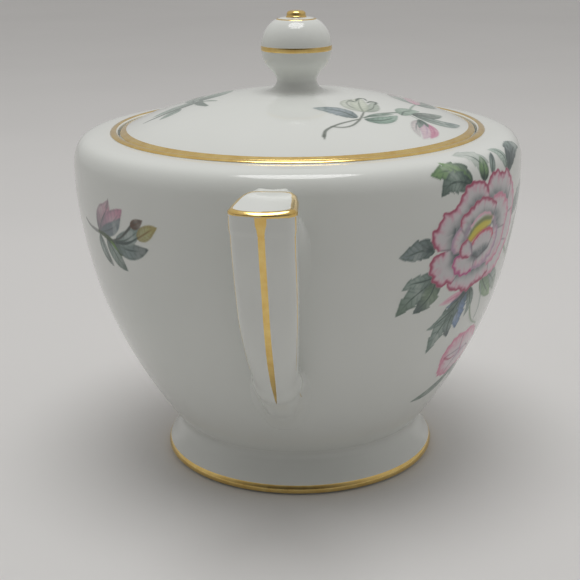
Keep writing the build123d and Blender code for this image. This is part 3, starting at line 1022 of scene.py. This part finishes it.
def paint_front(p):
    """The main spray: the peony with its leaves, a second blossom and a trailing branch."""
    # leaves behind the flower
    p.leaf([(45.8, 75.6), (43, 78.4), (38.6, 79.3), (34.4, 78.8)], 2.7, MOSS, tip=GREEN, teeth=0.22,
           dark=0.8, base_dark=1, lean=0.15)
    p.leaf([(45.6, 76.2), (42.5, 78.2), (39.8, 80.2), (38, 81.6)], 1.3, GREEN, tip=GREEN, teeth=0.2,
           dark=0.4)
    p.leaf([(45.2, 75.6), (41.5, 76.6), (38.8, 76.2), (36.7, 74.1)], 2.5, SAGE, tip=(0.38, 0.45, 0.42),
           teeth=0.2, dark=0.85, base_dark=1, strength=0.88)
    p.leaf([(50.4, 76), (50, 79.5), (47.8, 82.4), (44.4, 83.4)], 2.7, (0.74, 0.78, 0.75), teeth=0.2,
           dark=0.25, lean=-0.2)
    p.leaf([(50.2, 75.4), (50.7, 78), (51.6, 81)], 1.7, GREEN, tip=MOSS, dark=0.9, base_dark=1.2)
    p.leaf([(53.6, 76.4), (54.9, 79), (56.6, 81)], 1.1, SAGE, tip=SLATE)
    p.leaf([(60.8, 76.2), (61.2, 78.8), (59.6, 81), (57, 82)], 1.7, (0.7, 0.77, 0.73), lean=0.4)
    p.leaf([(61.6, 75.6), (65.5, 78.4), (70.5, 79.6), (74.5, 78.8)], 2.3, SLATE, tip=SAGE, teeth=0.15,
           dark=0.8, lean=0.25)
    p.leaf([(62.8, 77), (66, 80.2), (69.4, 81.6)], 1.4, SLATE, tip=SAGE, dark=0.4)
    p.leaf([(35.9, 62.2), (32.6, 62.9), (29.4, 62.3), (26.9, 62)], 2.5, (0.5, 0.56, 0.56), teeth=0.16,
           dark=0.9, base_dark=0.7, lean=-0.12)
    p.leaf([(35.4, 62.6), (33.4, 63.4), (32.2, 64.3)], 0.8, SLATE, dark=0.8)
    p.leaf([(37.4, 55.8), (34, 53.6), (30.6, 51.2), (27.8, 48)], 2.9, SAGE, tip=PINE,
           teeth=0.18, dark=0.75, base_dark=0.9)
    p.leaf([(37.2, 56), (33.6, 55.6), (30.6, 55.4), (28.5, 54.2)], 1.9, SAGE, teeth=0.2, dark=0.7,
           base_dark=0.8)
    p.leaf([(37.6, 55.4), (36.8, 52.4), (35.2, 50.2), (32.4, 48)], 2.6, MOSS, tip=SLATE, teeth=0.2,
           dark=0.6, base_dark=0.9)
    # leaves and stems below the flower
    p.leaf([(56.2, 53.4), (60, 51.4), (63.6, 49), (66.4, 46)], 2.3, SAGE, tip=MOSS, dark=0.9, base_dark=0.9)
    p.leaf([(54.6, 52.6), (57.6, 49.6), (60.6, 47.4), (64, 45.4)], 2.1, FERN, tip=GREEN)
    p.stroke([(51.2, 50), (52.4, 46.4), (54.2, 43), (57.2, 40.2), (61.5, 38.4)], [0.3, 0.28, 0.25, 0.2],
             MOSS)
    p.stroke([(55.4, 50.4), (57.4, 46.5), (58.4, 43.4), (58, 40.4)], [0.2, 0.22, 0.2], SAGE)
    p.leaf([(49.4, 50.6), (47.6, 47.6), (47.8, 44.4), (48.8, 40.6)], 3, BLUE, tip=BLUE, teeth=0.22,
           dark=0.7, base_dark=0.9)
    p.leaf([(49.6, 50.8), (46.6, 48.8), (44.2, 47.6), (42.6, 47.4)], 1.2, SLATE, tip=BLUE, dark=0.6)
    p.leaf([(49.8, 51), (51.4, 48.2), (52, 45.6), (51.2, 43)], 1.3, SAGE, dark=0.8, base_dark=1.1)
    p.leaf([(46.8, 48.2), (44.2, 44.6), (41.8, 40.6), (40.2, 35.6)], 3, SAGE, tip=(0.5, 0.57, 0.54),
           teeth=0.24, dark=0.75)
    p.leaf([(45.8, 46.6), (42.6, 44.8), (39.8, 43.2), (37.8, 42.6)], 1.2, SAGE, teeth=0.2, dark=0.8)
    p.leaf([(45.6, 45), (45.2, 42.4), (45.6, 40.4), (46.3, 38.8)], 1.8, SAGE, tip=SLATE, teeth=0.2,
           dark=0.7)
    p.leaf([(47.4, 50.4), (44.6, 49.6), (41.8, 48.9), (39.9, 48.6)], 0.9, PINK, shade=ROSE, dark=0.35,
           strength=0.75)
    # second blossom, seen from the side
    blossom = {"rim": ROSE, "body": BLUSH, "shade": MAUVE}
    p.petal([(49, 29.4), (48.6, 32.6), (50.2, 35.8), (53, 37.6), (56.6, 37.4)], [(58.6, 33), (54, 27.6)],
            rim_width=1.8, shade_reach=0.4, **blossom)
    p.petal([(55.4, 37.2), (59.4, 38.2), (63.4, 36.6), (66.6, 33.4)], [(62, 29), (57.6, 30.8)],
            rim_width=1.7, shade_reach=0.4, **blossom)
    p.petal([(50.2, 31.6), (49.6, 28.6), (51.2, 25.8), (54.6, 24.6)], [(60.6, 27.6), (58, 32.6)],
            rim_width=1.8, shade_reach=0.45, **blossom)
    p.petal([(54, 25), (58.4, 24.4), (63.2, 26.4), (66, 30.4)], [(61.6, 32.6), (57.4, 30.6)],
            rim_width=1.6, shade_reach=0.45, **blossom)
    p.stroke([(50.2, 31.4), (53.2, 30.2), (56.4, 30.4)], [0.35, 0.28, 0.15], CRIMSON, 0.7)
    p.stroke([(57, 35.6), (57.6, 32.6), (59.6, 29.6)], [0.12, 0.3, 0.15], ROSE, 0.8)
    p.leaf([(61.5, 26.4), (56.6, 22.2), (50.6, 20), (44, 18.9)], 1.6, (0.5, 0.57, 0.53), dark=0.8,
           base_dark=0.5)
    p.leaf([(60.5, 26), (64.4, 23), (67.4, 19.4)], 1.5, SAGE, tip=MOSS, dark=0.7)
    # the trailing branch on the far side of the flower, out of the photo's sight
    p.stroke([(64, 58), (72, 53.6), (81, 52.6), (90, 55.4), (98, 61.4)], [0.5, 0.45, 0.4, 0.35, 0.25], MOSS)
    p.stroke([(84, 53.2), (92, 50.4), (100, 49.6), (107, 51.6)], [0.35, 0.3, 0.25, 0.15], MOSS)
    p.leaf([(66, 64.6), (70.6, 67.4), (75.6, 68.6), (80.6, 67.2)], 2.6, SAGE, tip=SLATE, teeth=0.2,
           dark=0.8)
    p.leaf([(71, 54), (73.6, 59.4), (78, 62.6), (83.4, 63.6)], 2.7, MOSS, tip=GREEN, teeth=0.22, dark=0.7)
    p.leaf([(74, 53.2), (77.4, 48.6), (82, 45), (87.4, 43.4)], 3, SAGE, tip=PINE, teeth=0.2,
           dark=0.75)
    p.leaf([(90, 50.8), (94, 46.4), (98.6, 43.2), (103.6, 42.4)], 2.2, SAGE, tip=BLUE, teeth=0.2, dark=0.7)
    p.leaf([(86.6, 54.2), (88, 59), (91.6, 63), (96, 65.8)], 2.3, FERN, tip=GREEN, teeth=0.18,
           dark=0.6)
    p.leaf([(101, 49.8), (105, 47.6), (110, 47.4), (114.6, 49.4)], 1.9, SAGE, tip=SLATE, teeth=0.18,
           dark=0.7)
    p.petal([(97, 61.6), (96.8, 65.6), (99.4, 69.4), (103, 70.6)], [(104.4, 65.6), (100, 61.6)], rim=ROSE,
            shade=MAUVE, rim_width=1.3, shade_reach=0.4)
    p.petal([(102, 70.6), (106, 69.8), (108.4, 66.4), (107.4, 62.6)], [(101.6, 60.4), (99, 62.6)], rim=ROSE,
            shade=MAUVE, rim_width=1.3, shade_reach=0.4)
    p.petal([(98.6, 64), (100.2, 68), (103.6, 68.8), (105.6, 65.6)], [(103.4, 61.4), (99.2, 60.8)],
            rim_width=0.9, shade_reach=0.4)
    p.leaf([(97.4, 60.6), (98.2, 63.6), (100.8, 65)], 1.1, SAGE, dark=0.8)
    p.leaf([(98.6, 60.6), (102.4, 60.6), (105.4, 62.4)], 1.1, MOSS, dark=0.8)
    p.petal([(106.4, 51), (106.6, 54.6), (109.4, 56.4), (112, 54.8)], [(110.6, 51.4), (107.6, 50.6)],
            rim=ROSE, shade=MAUVE, shade_reach=0.4)
    paint_peony(p)


def paint_peony(p):
    """The open flower of the main spray."""
    # outermost petals, from the far side round to the near one
    p.petal([(58.8, 74.6), (62.6, 74.8), (65.6, 71.6), (67, 68), (66.6, 64.6)],
            [(60, 63.6), (54.6, 66.6), (56, 71)], rim=ROSE)
    p.petal([(66.2, 66.6), (67.6, 63.4), (67.2, 59.2), (64.6, 56.2)],
            [(57.6, 57.4), (55, 62.4), (59.6, 65.6)], rim=ROSE, shade=MAUVE)
    p.petal([(65.8, 59), (64, 54.8), (60.4, 52.4), (56, 51.8)], [(51.6, 55.6), (55.4, 60.4), (60.6, 60.2)],
            rim=ROSE, shade=MAUVE)
    p.petal([(51, 73.8), (53, 76.2), (56.2, 76.8), (58.8, 75.8), (61.4, 76.2), (64, 73.2)],
            [(62.2, 68.6), (56.4, 68.4), (52.2, 70.4)], shade_reach=0.62)
    p.petal([(36.8, 62), (35.2, 64), (34.8, 66.4), (36.6, 68.2), (37.6, 70.2), (40.6, 70.8), (42.6, 73.2),
             (44.2, 75.2), (47.2, 75.9), (50.8, 75), (52.2, 73.2)],
            [(53, 70.6), (47.4, 70), (43, 66.4), (41.6, 61.6)], shade_reach=0.6, ruffle=0.42, streaks=16)
    p.petal([(41, 53.6), (42.4, 51.8), (45.6, 51.2), (48.6, 50.2), (51.6, 51.2), (54.6, 51.6), (57.4, 53)],
            [(56.4, 57.4), (49, 56.2), (43.6, 56.6)], shade_reach=0.62, streaks=14)
    p.petal([(38.4, 61.6), (35.9, 60.9), (35, 58.6), (35.8, 56.4), (37, 54.6), (39.2, 53.2), (41.2, 53.9),
             (42.4, 53.2)], [(44.6, 55.4), (43.6, 60.6), (41.4, 62.2)], ruffle=0.42)
    # middle ring
    p.petal([(54.4, 71.4), (58, 71.6), (61.6, 69.4), (63.2, 66), (62.4, 62.2)],
            [(57.6, 61.6), (54.6, 65.6)], rim=ROSE, shade_reach=0.6)
    p.petal([(62.6, 63.4), (62.2, 59.4), (59.6, 56.2), (55.8, 54.8)], [(52.6, 58.4), (56.2, 63.4)],
            rim=ROSE, shade=MAUVE)
    p.petal([(42.6, 66), (43, 68.6), (45.4, 69.9), (47.2, 71.1), (50.6, 71.9), (53.6, 71), (56.2, 69.6)],
            [(55, 66.6), (50.4, 67), (46, 65.4), (44.6, 63.6)], rim_width=0.8, shade_reach=0.62, streaks=13)
    p.petal([(42.8, 66.6), (41.2, 64.8), (40.6, 62.6), (41.6, 60.6)], [(44.4, 60.4), (45.6, 63.6)],
            rim=MAUVE, rim_width=0.9, ruffle=0.2)
    p.petal([(44.6, 60), (42.4, 59.6), (42, 57.4), (43.6, 55.4), (46.4, 54.6), (49, 55)],
            [(51, 58), (48.6, 60)], rim=(0.72, 0.3, 0.52), rim_width=0.9, shade_reach=0.55)
    p.petal([(49, 55.4), (53, 55.6), (56.8, 57.6), (58.4, 60.8), (57.8, 64.2)],
            [(54.8, 64), (52.8, 60.4), (49.4, 58.2)], rim=MAUVE, rim_width=1.1)
    # heart of the flower
    p.stroke([(45.8, 66.4), (45.2, 64.2), (46, 61.6)], [0.5, 0.9, 0.6], LILAC, 0.85, soft=0.5)
    p.stroke([(55.4, 66.6), (56.2, 64.8), (55.6, 62.8)], [0.4, 0.8, 0.6], LILAC, 0.85,
             soft=0.5)
    p.petal([(46.2, 66.2), (49, 68.2), (52.6, 68.2), (55.4, 66.4)], [(54.4, 64.6), (50, 64), (46.4, 63.2)],
            rim=PINK, body=(0.84, 0.86, 0.85), shade=SAGE, rim_width=0.5, shade_reach=0.8, ruffle=0.15)
    p.stroke([(46.2, 63.4), (48.2, 65.4), (51.2, 66.6), (54.2, 66.6)], [0.7, 0.95, 0.9, 0.5],
             (0.47, 0.52, 0.3), 0.85, soft=0.5)
    p.stroke([(46.4, 62.9), (48.4, 64.4), (51.2, 65.4), (53.8, 65.6)], [0.7, 1.15, 1.05, 0.5], YELLOW, 0.95,
             soft=0.4)
    p.stroke([(46.6, 62.2), (49.4, 63.9), (52.6, 64.7)], [0.3, 0.35, 0.3], (0.8, 0.52, 0.3), 0.7, soft=0.3)
    p.petal([(47.4, 62), (49.4, 63.6), (52, 64.4), (54.8, 64.2), (56.2, 62.4)],
            [(54.6, 59.4), (50.6, 57.8), (47.6, 59)], rim=(0.78, 0.28, 0.36), rim_width=0.75,
            shade_reach=0.4, ruffle=0.15)
    p.petal([(45.6, 63.4), (43.9, 62.4), (43.5, 60.6), (44.8, 59), (46.8, 58.6)],
            [(48.4, 59.2), (47.4, 62)], shade=MAUVE, rim_width=0.8, shade_reach=0.35, ruffle=0.15)


def paint_back(p):
    """The sprig behind the left handle: a bud and its leaves."""
    p.stroke([(-55.4, 64.8), (-53, 63.8), (-50, 63.4), (-46.5, 63.2)], [0.28, 0.34, 0.42, 0.5],
             (0.48, 0.5, 0.49), 0.85)
    p.leaf([(-47.6, 63.4), (-45.2, 66.6), (-42.8, 69.2), (-41.6, 71.6)], 2.4, (0.72, 0.6, 0.65),
           shade=SLATE, tip=(0.8, 0.62, 0.69), dark=0.6, base_dark=1, lean=0.15, round_end=0.9)
    p.leaf([(-47, 63.6), (-42.6, 65.4), (-39.4, 67.8), (-36.6, 70.4)], 2.3, (0.76, 0.62, 0.69), shade=SLATE,
           tip=(0.78, 0.58, 0.66), dark=0.6, base_dark=1, lean=0.2, round_end=0.95)
    p.leaf([(-47, 63.4), (-43, 64.6), (-39.6, 66.2), (-37.4, 68.4)], 1.5, (0.48, 0.54, 0.56), shade=SLATE,
           round_end=0.9)
    p.stroke([(-42.4, 70), (-41.9, 71), (-41.7, 71.9)], [0.5, 0.32, 0.12], (0.6, 0.56, 0.58), 0.8)
    p.leaf([(-47.4, 62.8), (-46.6, 60.4), (-45.4, 58.2), (-43.6, 55.9)], 1.5, (0.62, 0.68, 0.66),
           tip=(0.38, 0.42, 0.4), dark=0.6, lean=-0.3)
    p.leaf([(-44.2, 62.6), (-42.2, 60.2), (-40.4, 58), (-37.8, 56)], 2.2, (0.56, 0.63, 0.6),
           tip=(0.4, 0.46, 0.43), dark=0.6)
    p.stroke([(-47.8, 63.4), (-44.6, 62.9), (-41.4, 61.8), (-39.2, 60.2)], [0.35, 0.62, 0.75, 0.9],
             (0.24, 0.32, 0.2), 0.85)
    p.stroke([(-42.6, 62), (-40.8, 61), (-39, 60.6), (-37.4, 60.6)], [0.2, 0.5, 0.4, 0.1],
             (0.42, 0.58, 0.28), 0.9)
    p.leaf([(-41.2, 62.4), (-37.2, 61.4), (-33.2, 61.6), (-29.4, 62.6)], 2.1, (0.5, 0.57, 0.57),
           tip=(0.36, 0.4, 0.4), dark=0.7, lean=-0.1)
    p.leaf([(-40.4, 62.6), (-36.8, 63.4), (-33.6, 65.2), (-30.6, 67.4)], 1.9, (0.6, 0.66, 0.65),
           tip=(0.52, 0.6, 0.58))
    p.leaf([(-32.4, 64.6), (-30, 66), (-28, 67.2), (-26.2, 68)], 1.6, (0.68, 0.69, 0.5),
           shade=(0.5, 0.4, 0.24), tip=(0.7, 0.66, 0.42), dark=0.8, base_dark=0.2)
    p.stroke([(-41.6, 62.6), (-38.6, 63.6), (-36, 65.4), (-33.6, 67.4), (-31.2, 68.6)],
             [0.14, 0.2, 0.28, 0.34, 0.3], (0.3, 0.32, 0.3), 0.9)
    p.leaf([(-34.2, 67.2), (-32.4, 67.8), (-30.2, 69)], 1.1, (0.36, 0.33, 0.3), shade=BROWN, dark=0.9)
    p.stroke([(-40.4, 62.3), (-37, 62.7), (-34.4, 63.6), (-32, 65)], [0.3, 0.36, 0.26, 0.1],
             (0.22, 0.28, 0.27), 0.8)


def paint_lid_right(p):
    """The spray at the front of the lid: u is -y, v is x."""
    twig = (0.42, 0.45, 0.42)
    p.stroke([(8.9, -31.6), (9.2, -28.8), (11.4, -25.6), (14.2, -22.8), (15.8, -21.2)],
             [0.42, 0.3, 0.26, 0.24], twig, 0.85)
    p.stroke([(10.2, -26.8), (12.6, -26.6), (14.6, -25), (15.8, -22.2), (16.4, -19.4), (16.9, -15)],
             [0.22, 0.26, 0.26, 0.2], twig, 0.85)
    p.stroke([(8.9, -31), (9.1, -32.6)], [0.35, 0.15], twig, 0.8)
    p.leaf([(15.4, -20.6), (12.2, -18.2), (8.8, -17.4), (5.4, -17.4)], 2.4, (0.6, 0.65, 0.68),
           tip=(0.55, 0.61, 0.62), teeth=0.08, dark=0.6, base_dark=0.7, lean=0.15)
    p.leaf([(16.4, -16.2), (13.4, -13.6), (12.6, -10.8), (13.6, -7.4)], 1.7, (0.8, 0.83, 0.78),
           shade=STONE, base_dark=0.3)
    p.leaf([(16.6, -16), (18.4, -13.2), (18.8, -10.2), (18.4, -6.8)], 1.5, (0.7, 0.75, 0.7),
           shade=STONE, dark=0.6, base_dark=0.5)
    p.leaf([(16.6, -16.2), (15.6, -12.4), (15.2, -8.6), (15.4, -4.8)], 2, (0.83, 0.86, 0.8),
           shade=(0.45, 0.5, 0.44), dark=0.4, base_dark=0.4)
    bud_tops = (
        [(12.8, -9.8), (13.4, -9.2), (14.6, -9.8)],
        [(14.6, -8.8), (15, -6.2), (16.2, -5.2), (17, -7)],
        [(17.2, -8.8), (18, -7), (19.2, -7.2), (18.9, -9.6)],
    )
    for top in bud_tops:
        p.stroke(top, [0.2, 0.38, 0.3, 0.14], (0.3, 0.36, 0.32), 0.85)
    p.leaf([(17.2, -20.8), (20.2, -19.8), (22.6, -17.4), (24.2, -14)], 1.7, (0.56, 0.67, 0.61), dark=0.6)
    p.stroke([(17, -19.8), (19.4, -16.4), (22.2, -13.6), (25.4, -10.4)], [0.3, 0.4, 0.34, 0.26],
             (0.42, 0.48, 0.44), 0.85)
    p.leaf([(17.6, -18.8), (20.6, -16), (23.4, -13.6)], 0.8, (0.6, 0.68, 0.63), dark=0.3)
    p.leaf([(25.2, -12.8), (25.6, -9.8), (27.2, -7.2), (29.2, -5.4)], 2, (0.62, 0.71, 0.65),
           tip=(0.66, 0.74, 0.69), dark=0.35)
    p.leaf([(27.6, -10.6), (30, -8.6), (32.4, -5.6), (34.4, -2.2)], 1.8, (0.42, 0.47, 0.44),
           tip=(0.52, 0.58, 0.54), dark=0.7)
    p.leaf([(28.2, -10.8), (32.6, -10.4), (36, -8.6), (38.6, -4.8)], 1.9, (0.58, 0.64, 0.61),
           tip=(0.5, 0.57, 0.57))
    p.stroke([(25.6, -10.6), (27.4, -11.4), (29.4, -12.8)], [0.2, 0.2, 0.2], (0.5, 0.56, 0.52), 0.7)
    p.leaf([(29.4, -12.8), (28.6, -16), (28.6, -20), (29.6, -22.8)], 1.2, (0.82, 0.78, 0.78), shade=SLATE,
           base_dark=0.2)
    p.leaf([(29.8, -13.2), (30.8, -16.6), (30.9, -20), (30.2, -23.2)], 1.7, (0.83, 0.74, 0.77), shade=MAUVE,
           dark=0.9, base_dark=0.3)
    p.leaf([(30.4, -13.6), (32.2, -15.8), (32.6, -18.6), (31.8, -21.8)], 1, (0.82, 0.6, 0.68),
           shade=(0.7, 0.42, 0.54), dark=0.8, base_dark=0.2)
    p.leaf([(29.2, -12.4), (29.4, -15), (29.2, -18)], 0.7, (0.4, 0.5, 0.46), dark=0.9)
    p.leaf([(29.2, -12.4), (30.6, -14.2), (31.2, -16)], 0.6, (0.45, 0.55, 0.5), dark=0.9)
    # far end of the spray
    p.stroke([(26.8, -8.6), (27.2, -4.6), (27.8, -0.6), (28.6, 2.4)], [0.2, 0.26, 0.24, 0.2],
             (0.52, 0.6, 0.55), 0.8)
    p.leaf([(28.4, 1.4), (30.6, 5), (31, 9.4), (30.2, 13.6)], 2.2, (0.56, 0.64, 0.6), tip=(0.5, 0.58, 0.55),
           dark=0.7)
    p.leaf([(28.2, 1.6), (25.2, 4.4), (23, 8.6), (22.4, 13)], 2.1, (0.66, 0.73, 0.69),
           tip=(0.86, 0.74, 0.78), dark=0.4)
    p.leaf([(28.2, 2), (27.6, 6.4), (26.6, 10.4), (26.8, 14.6)], 1.8, (0.84, 0.74, 0.78), shade=ROSE,
           tip=PINK)


def paint_lid_left(p):
    """The spray on the far side of the lid: u is y, v is x."""
    p.leaf([(23.4, -2.6), (26.8, -3.6), (30.2, -5), (33.4, -6.8)], 2.4, DEW)
    p.stroke([(22.8, -3.6), (26.6, -5.4), (30.6, -7.6), (35, -9.8)], [0.55, 0.75, 0.65, 0.2],
             (0.4, 0.46, 0.43), 0.85)
    p.leaf([(26.8, -6.6), (28.6, -9.4), (30.8, -12)], 1.5, DEW, dark=0.4)
    p.leaf([(22.6, -2), (20.6, 1.6), (18.6, 5.4), (16.8, 9.8)], 3, (0.5, 0.6, 0.55), tip=(0.58, 0.67, 0.62),
           dark=0.7)
    p.leaf([(24.4, -2.2), (25.2, 1.8), (24.8, 6.2), (23.2, 10.6)], 2, DEW)
    p.stroke([(22.8, -0.8), (22.8, -4), (21.8, -6.8), (20, -9.6)], [0.6, 1.1, 0.9, 0.4], (0.36, 0.43, 0.4),
             0.85)
    p.stroke([(22.4, -3.4), (20.4, -4.4), (18.2, -6.2)], [0.4, 0.5, 0.2], (0.46, 0.53, 0.49), 0.8)


# ---------------------------------------------------------------- the painted sprays as thin shells
SPRAY_PITCH = 0.25
SPRAY_PROUD = 0.02
SPRAY_DEEP = 0.05
COVER_LIMIT = 0.04
DEGREES_PER_MM = 1 / 0.93
DATUM_Z = 65
OUTSIDE_STEP = 0.25
OUTSIDE = fine(wall_outline(), OUTSIDE_STEP)
OUTSIDE_NORMALS = -normals_of(OUTSIDE)
OUTSIDE_RUN = np.arange(len(OUTSIDE)) * OUTSIDE_STEP
OUTSIDE_RUN += DATUM_Z - np.interp(DATUM_Z, OUTSIDE[:, 1], OUTSIDE_RUN)
DOME = dome_outline()[::-1]


def on_wall(u, v):
    """The bowl's outside: u runs from the left handle to the front, v up the wall, v = z at DATUM_Z."""
    turn = np.radians(u * DEGREES_PER_MM)
    r, z, nr, nz = (np.interp(v, OUTSIDE_RUN, c) for c in (*OUTSIDE.T, *OUTSIDE_NORMALS.T))
    around = np.column_stack([-np.cos(turn), -np.sin(turn)])
    return np.column_stack([around * r[:, None], z]), np.column_stack([around * nr[:, None], nz])


def on_dome(x, y):
    """The lid's top at a plan position."""
    r = np.hypot(x, y)
    z = np.interp(r, *DOME.T)
    slope = np.interp(r, DOME[:, 0], np.gradient(DOME[:, 1], DOME[:, 0]))
    lean = 1 / np.hypot(1, slope)
    normals = np.column_stack([-slope * x / r * lean, -slope * y / r * lean, lean])
    return np.column_stack([x, y, z]), normals


def spray(name, body, paint, place, corners, seed):
    """A thin closed shell under the painted part of a plane, laid on a surface."""
    (u0, v0), (u1, v1) = corners
    u, v = np.meshgrid(np.arange(u0, u1, SPRAY_PITCH), np.arange(v0, v1, SPRAY_PITCH), indexing="ij")
    rows, columns = u.shape
    picture = Painting(u.ravel(), v.ravel(), seed)
    paint(picture)
    painted = (picture.cover > COVER_LIMIT).reshape(rows, columns)
    cells = painted[:-1, :-1] | painted[1:, :-1] | painted[:-1, 1:] | painted[1:, 1:]
    while True:
        low_left, low_right = cells[:-1, :-1], cells[1:, :-1]
        high_left, high_right = cells[:-1, 1:], cells[1:, 1:]
        rising = low_left & high_right & ~low_right & ~high_left
        falling = low_right & high_left & ~low_left & ~high_right
        if not (rising | falling).any():
            break
        low_right |= rising
        low_left |= falling
    number = np.arange(rows * columns).reshape(rows, columns)
    quads = np.stack([number[:-1, :-1], number[1:, :-1], number[1:, 1:], number[:-1, 1:]], -1)
    top = quads[cells]
    edges = np.concatenate([top[:, [k, (k + 1) % 4]] for k in range(4)])
    key = edges.min(1) * rows * columns + edges.max(1)
    _, first, count = np.unique(key, return_index=True, return_counts=True)
    rim = edges[first[count == 1]]
    used = np.unique(top)
    renumber = np.zeros(rows * columns, int)
    renumber[used] = np.arange(len(used))
    top, rim = renumber[top], renumber[rim]
    points, normals = place(u.ravel()[used], v.ravel()[used])
    vertices = np.vstack([points + SPRAY_PROUD * normals, points - SPRAY_DEEP * normals])
    walls = np.column_stack([rim[:, 1], rim[:, 0], rim[:, 0] + len(used), rim[:, 1] + len(used)])
    faces = np.concatenate([top, top[:, ::-1] + len(used), walls])
    piece = new_object(name, vertices, faces.tolist())
    share = linear(picture.colour[used]) / linear(PAPER)
    colours = np.column_stack([share, np.ones(len(used))])
    layer = piece.data.color_attributes.new(name="paint", type="FLOAT_COLOR", domain="POINT")
    layer.data.foreach_set("color", np.vstack([colours, colours]).ravel())
    finish_piece(piece, body, [], ENAMEL)


def linear(colour):
    """Display colour values as the light they stand for."""
    colour = np.asarray(colour)
    return np.where(colour < 0.04045, colour / 12.92, ((colour + 0.055) / 1.055) ** 2.4)


def lid_front(u, v):
    return on_dome(v - 1.0, -u)


def lid_back(u, v):
    return on_dome(v - 1.5, u)


spray("front_spray", BOWL_BODY, paint_front, on_wall, ((22, 14), (118, 92)), 3)
spray("back_sprig", BOWL_BODY, paint_back, on_wall, ((-58, 50), (-22, 76)), 5)
spray("lid_sprig_right", LID_BODY, paint_lid_right, lid_front, ((3, -36), (40, 18)), 7)
spray("lid_sprig_left", LID_BODY, paint_lid_left, lid_back, ((13, -14), (37, 14)), 9)


# ---------------------------------------------------------------- floor, light and camera
def make_floor():
    bpy.ops.mesh.primitive_circle_add(vertices=96, radius=6, fill_type="NGON", location=(0, 0, 0))
    floor = bpy.context.active_object
    floor.name = "studio_floor"
    floor.data.materials.append(floor_material())


def area_light(name, place, aim, size, power):
    lamp = bpy.data.lights.new(name, "AREA")
    lamp.shape = "DISK"
    lamp.size = size
    lamp.energy = power
    light = bpy.data.objects.new(name, lamp)
    bpy.context.scene.collection.objects.link(light)
    light.location = place
    light.rotation_euler = (Vector(aim) - Vector(place)).to_track_quat("-Z", "Y").to_euler()


def make_world(horizon, zenith, dark_side):
    """A soft room: brighter overhead, and dimmer on the -X side, which no lamp faces."""
    world = bpy.data.worlds.new("studio")
    bpy.context.scene.world = world
    world.use_nodes = True
    tree = world.node_tree
    back = tree.nodes["Background"]
    back.inputs["Color"].default_value = (1.0, 0.985, 0.965, 1)
    coordinates = tree.nodes.new("ShaderNodeTexCoord")
    parts = tree.nodes.new("ShaderNodeSeparateXYZ")
    tree.links.new(coordinates.outputs["Generated"], parts.inputs["Vector"])
    height = remap(tree, parts.outputs["Z"], 0.0, 1.0, horizon, zenith)
    side = remap(tree, parts.outputs["X"], -0.95, -0.2, dark_side, 1.0)
    product = tree.nodes.new("ShaderNodeMath")
    product.operation = "MULTIPLY"
    tree.links.new(height, product.inputs[0])
    tree.links.new(side, product.inputs[1])
    tree.links.new(product.outputs["Value"], back.inputs["Strength"])


CAMERA_AZIMUTH = math.radians(185.55)
CAMERA_OUT = 0.2880
CAMERA_UP = 0.13123
VIEW_TURN = math.radians(5.98)
VIEW_DOWN = math.radians(17.566)
VIEW_ROLL = math.radians(0.636)
LENS = 74.545


def make_camera():
    """The camera looks down at the end of the left handle, with the front spray at its right."""
    flat = math.cos(VIEW_DOWN)
    ahead = Vector((math.cos(VIEW_TURN) * flat, math.sin(VIEW_TURN) * flat, -math.sin(VIEW_DOWN)))
    right = Vector((math.sin(VIEW_TURN), -math.cos(VIEW_TURN), 0))
    up = right.cross(ahead)
    turned_up = up * math.cos(VIEW_ROLL) + right * math.sin(VIEW_ROLL)
    turned_right = right * math.cos(VIEW_ROLL) - up * math.sin(VIEW_ROLL)
    lens = bpy.data.cameras.new("camera")
    lens.lens = LENS
    lens.clip_start = 0.01
    camera = bpy.data.objects.new("camera", lens)
    bpy.context.scene.collection.objects.link(camera)
    east, north = math.cos(CAMERA_AZIMUTH) * CAMERA_OUT, math.sin(CAMERA_AZIMUTH) * CAMERA_OUT
    turn = Matrix((turned_right, turned_up, -ahead)).transposed().to_4x4()
    camera.matrix_world = Matrix.Translation((east, north, CAMERA_UP)) @ turn
    bpy.context.scene.camera = camera


make_floor()
make_world(0.42, 0.60, 0.14)
area_light("overhead_softbox", (-0.02, 0.0, 0.9), (0, 0, 0.05), 0.5, 3.1)
make_camera()
bpy.context.scene.view_settings.view_transform = "Standard"
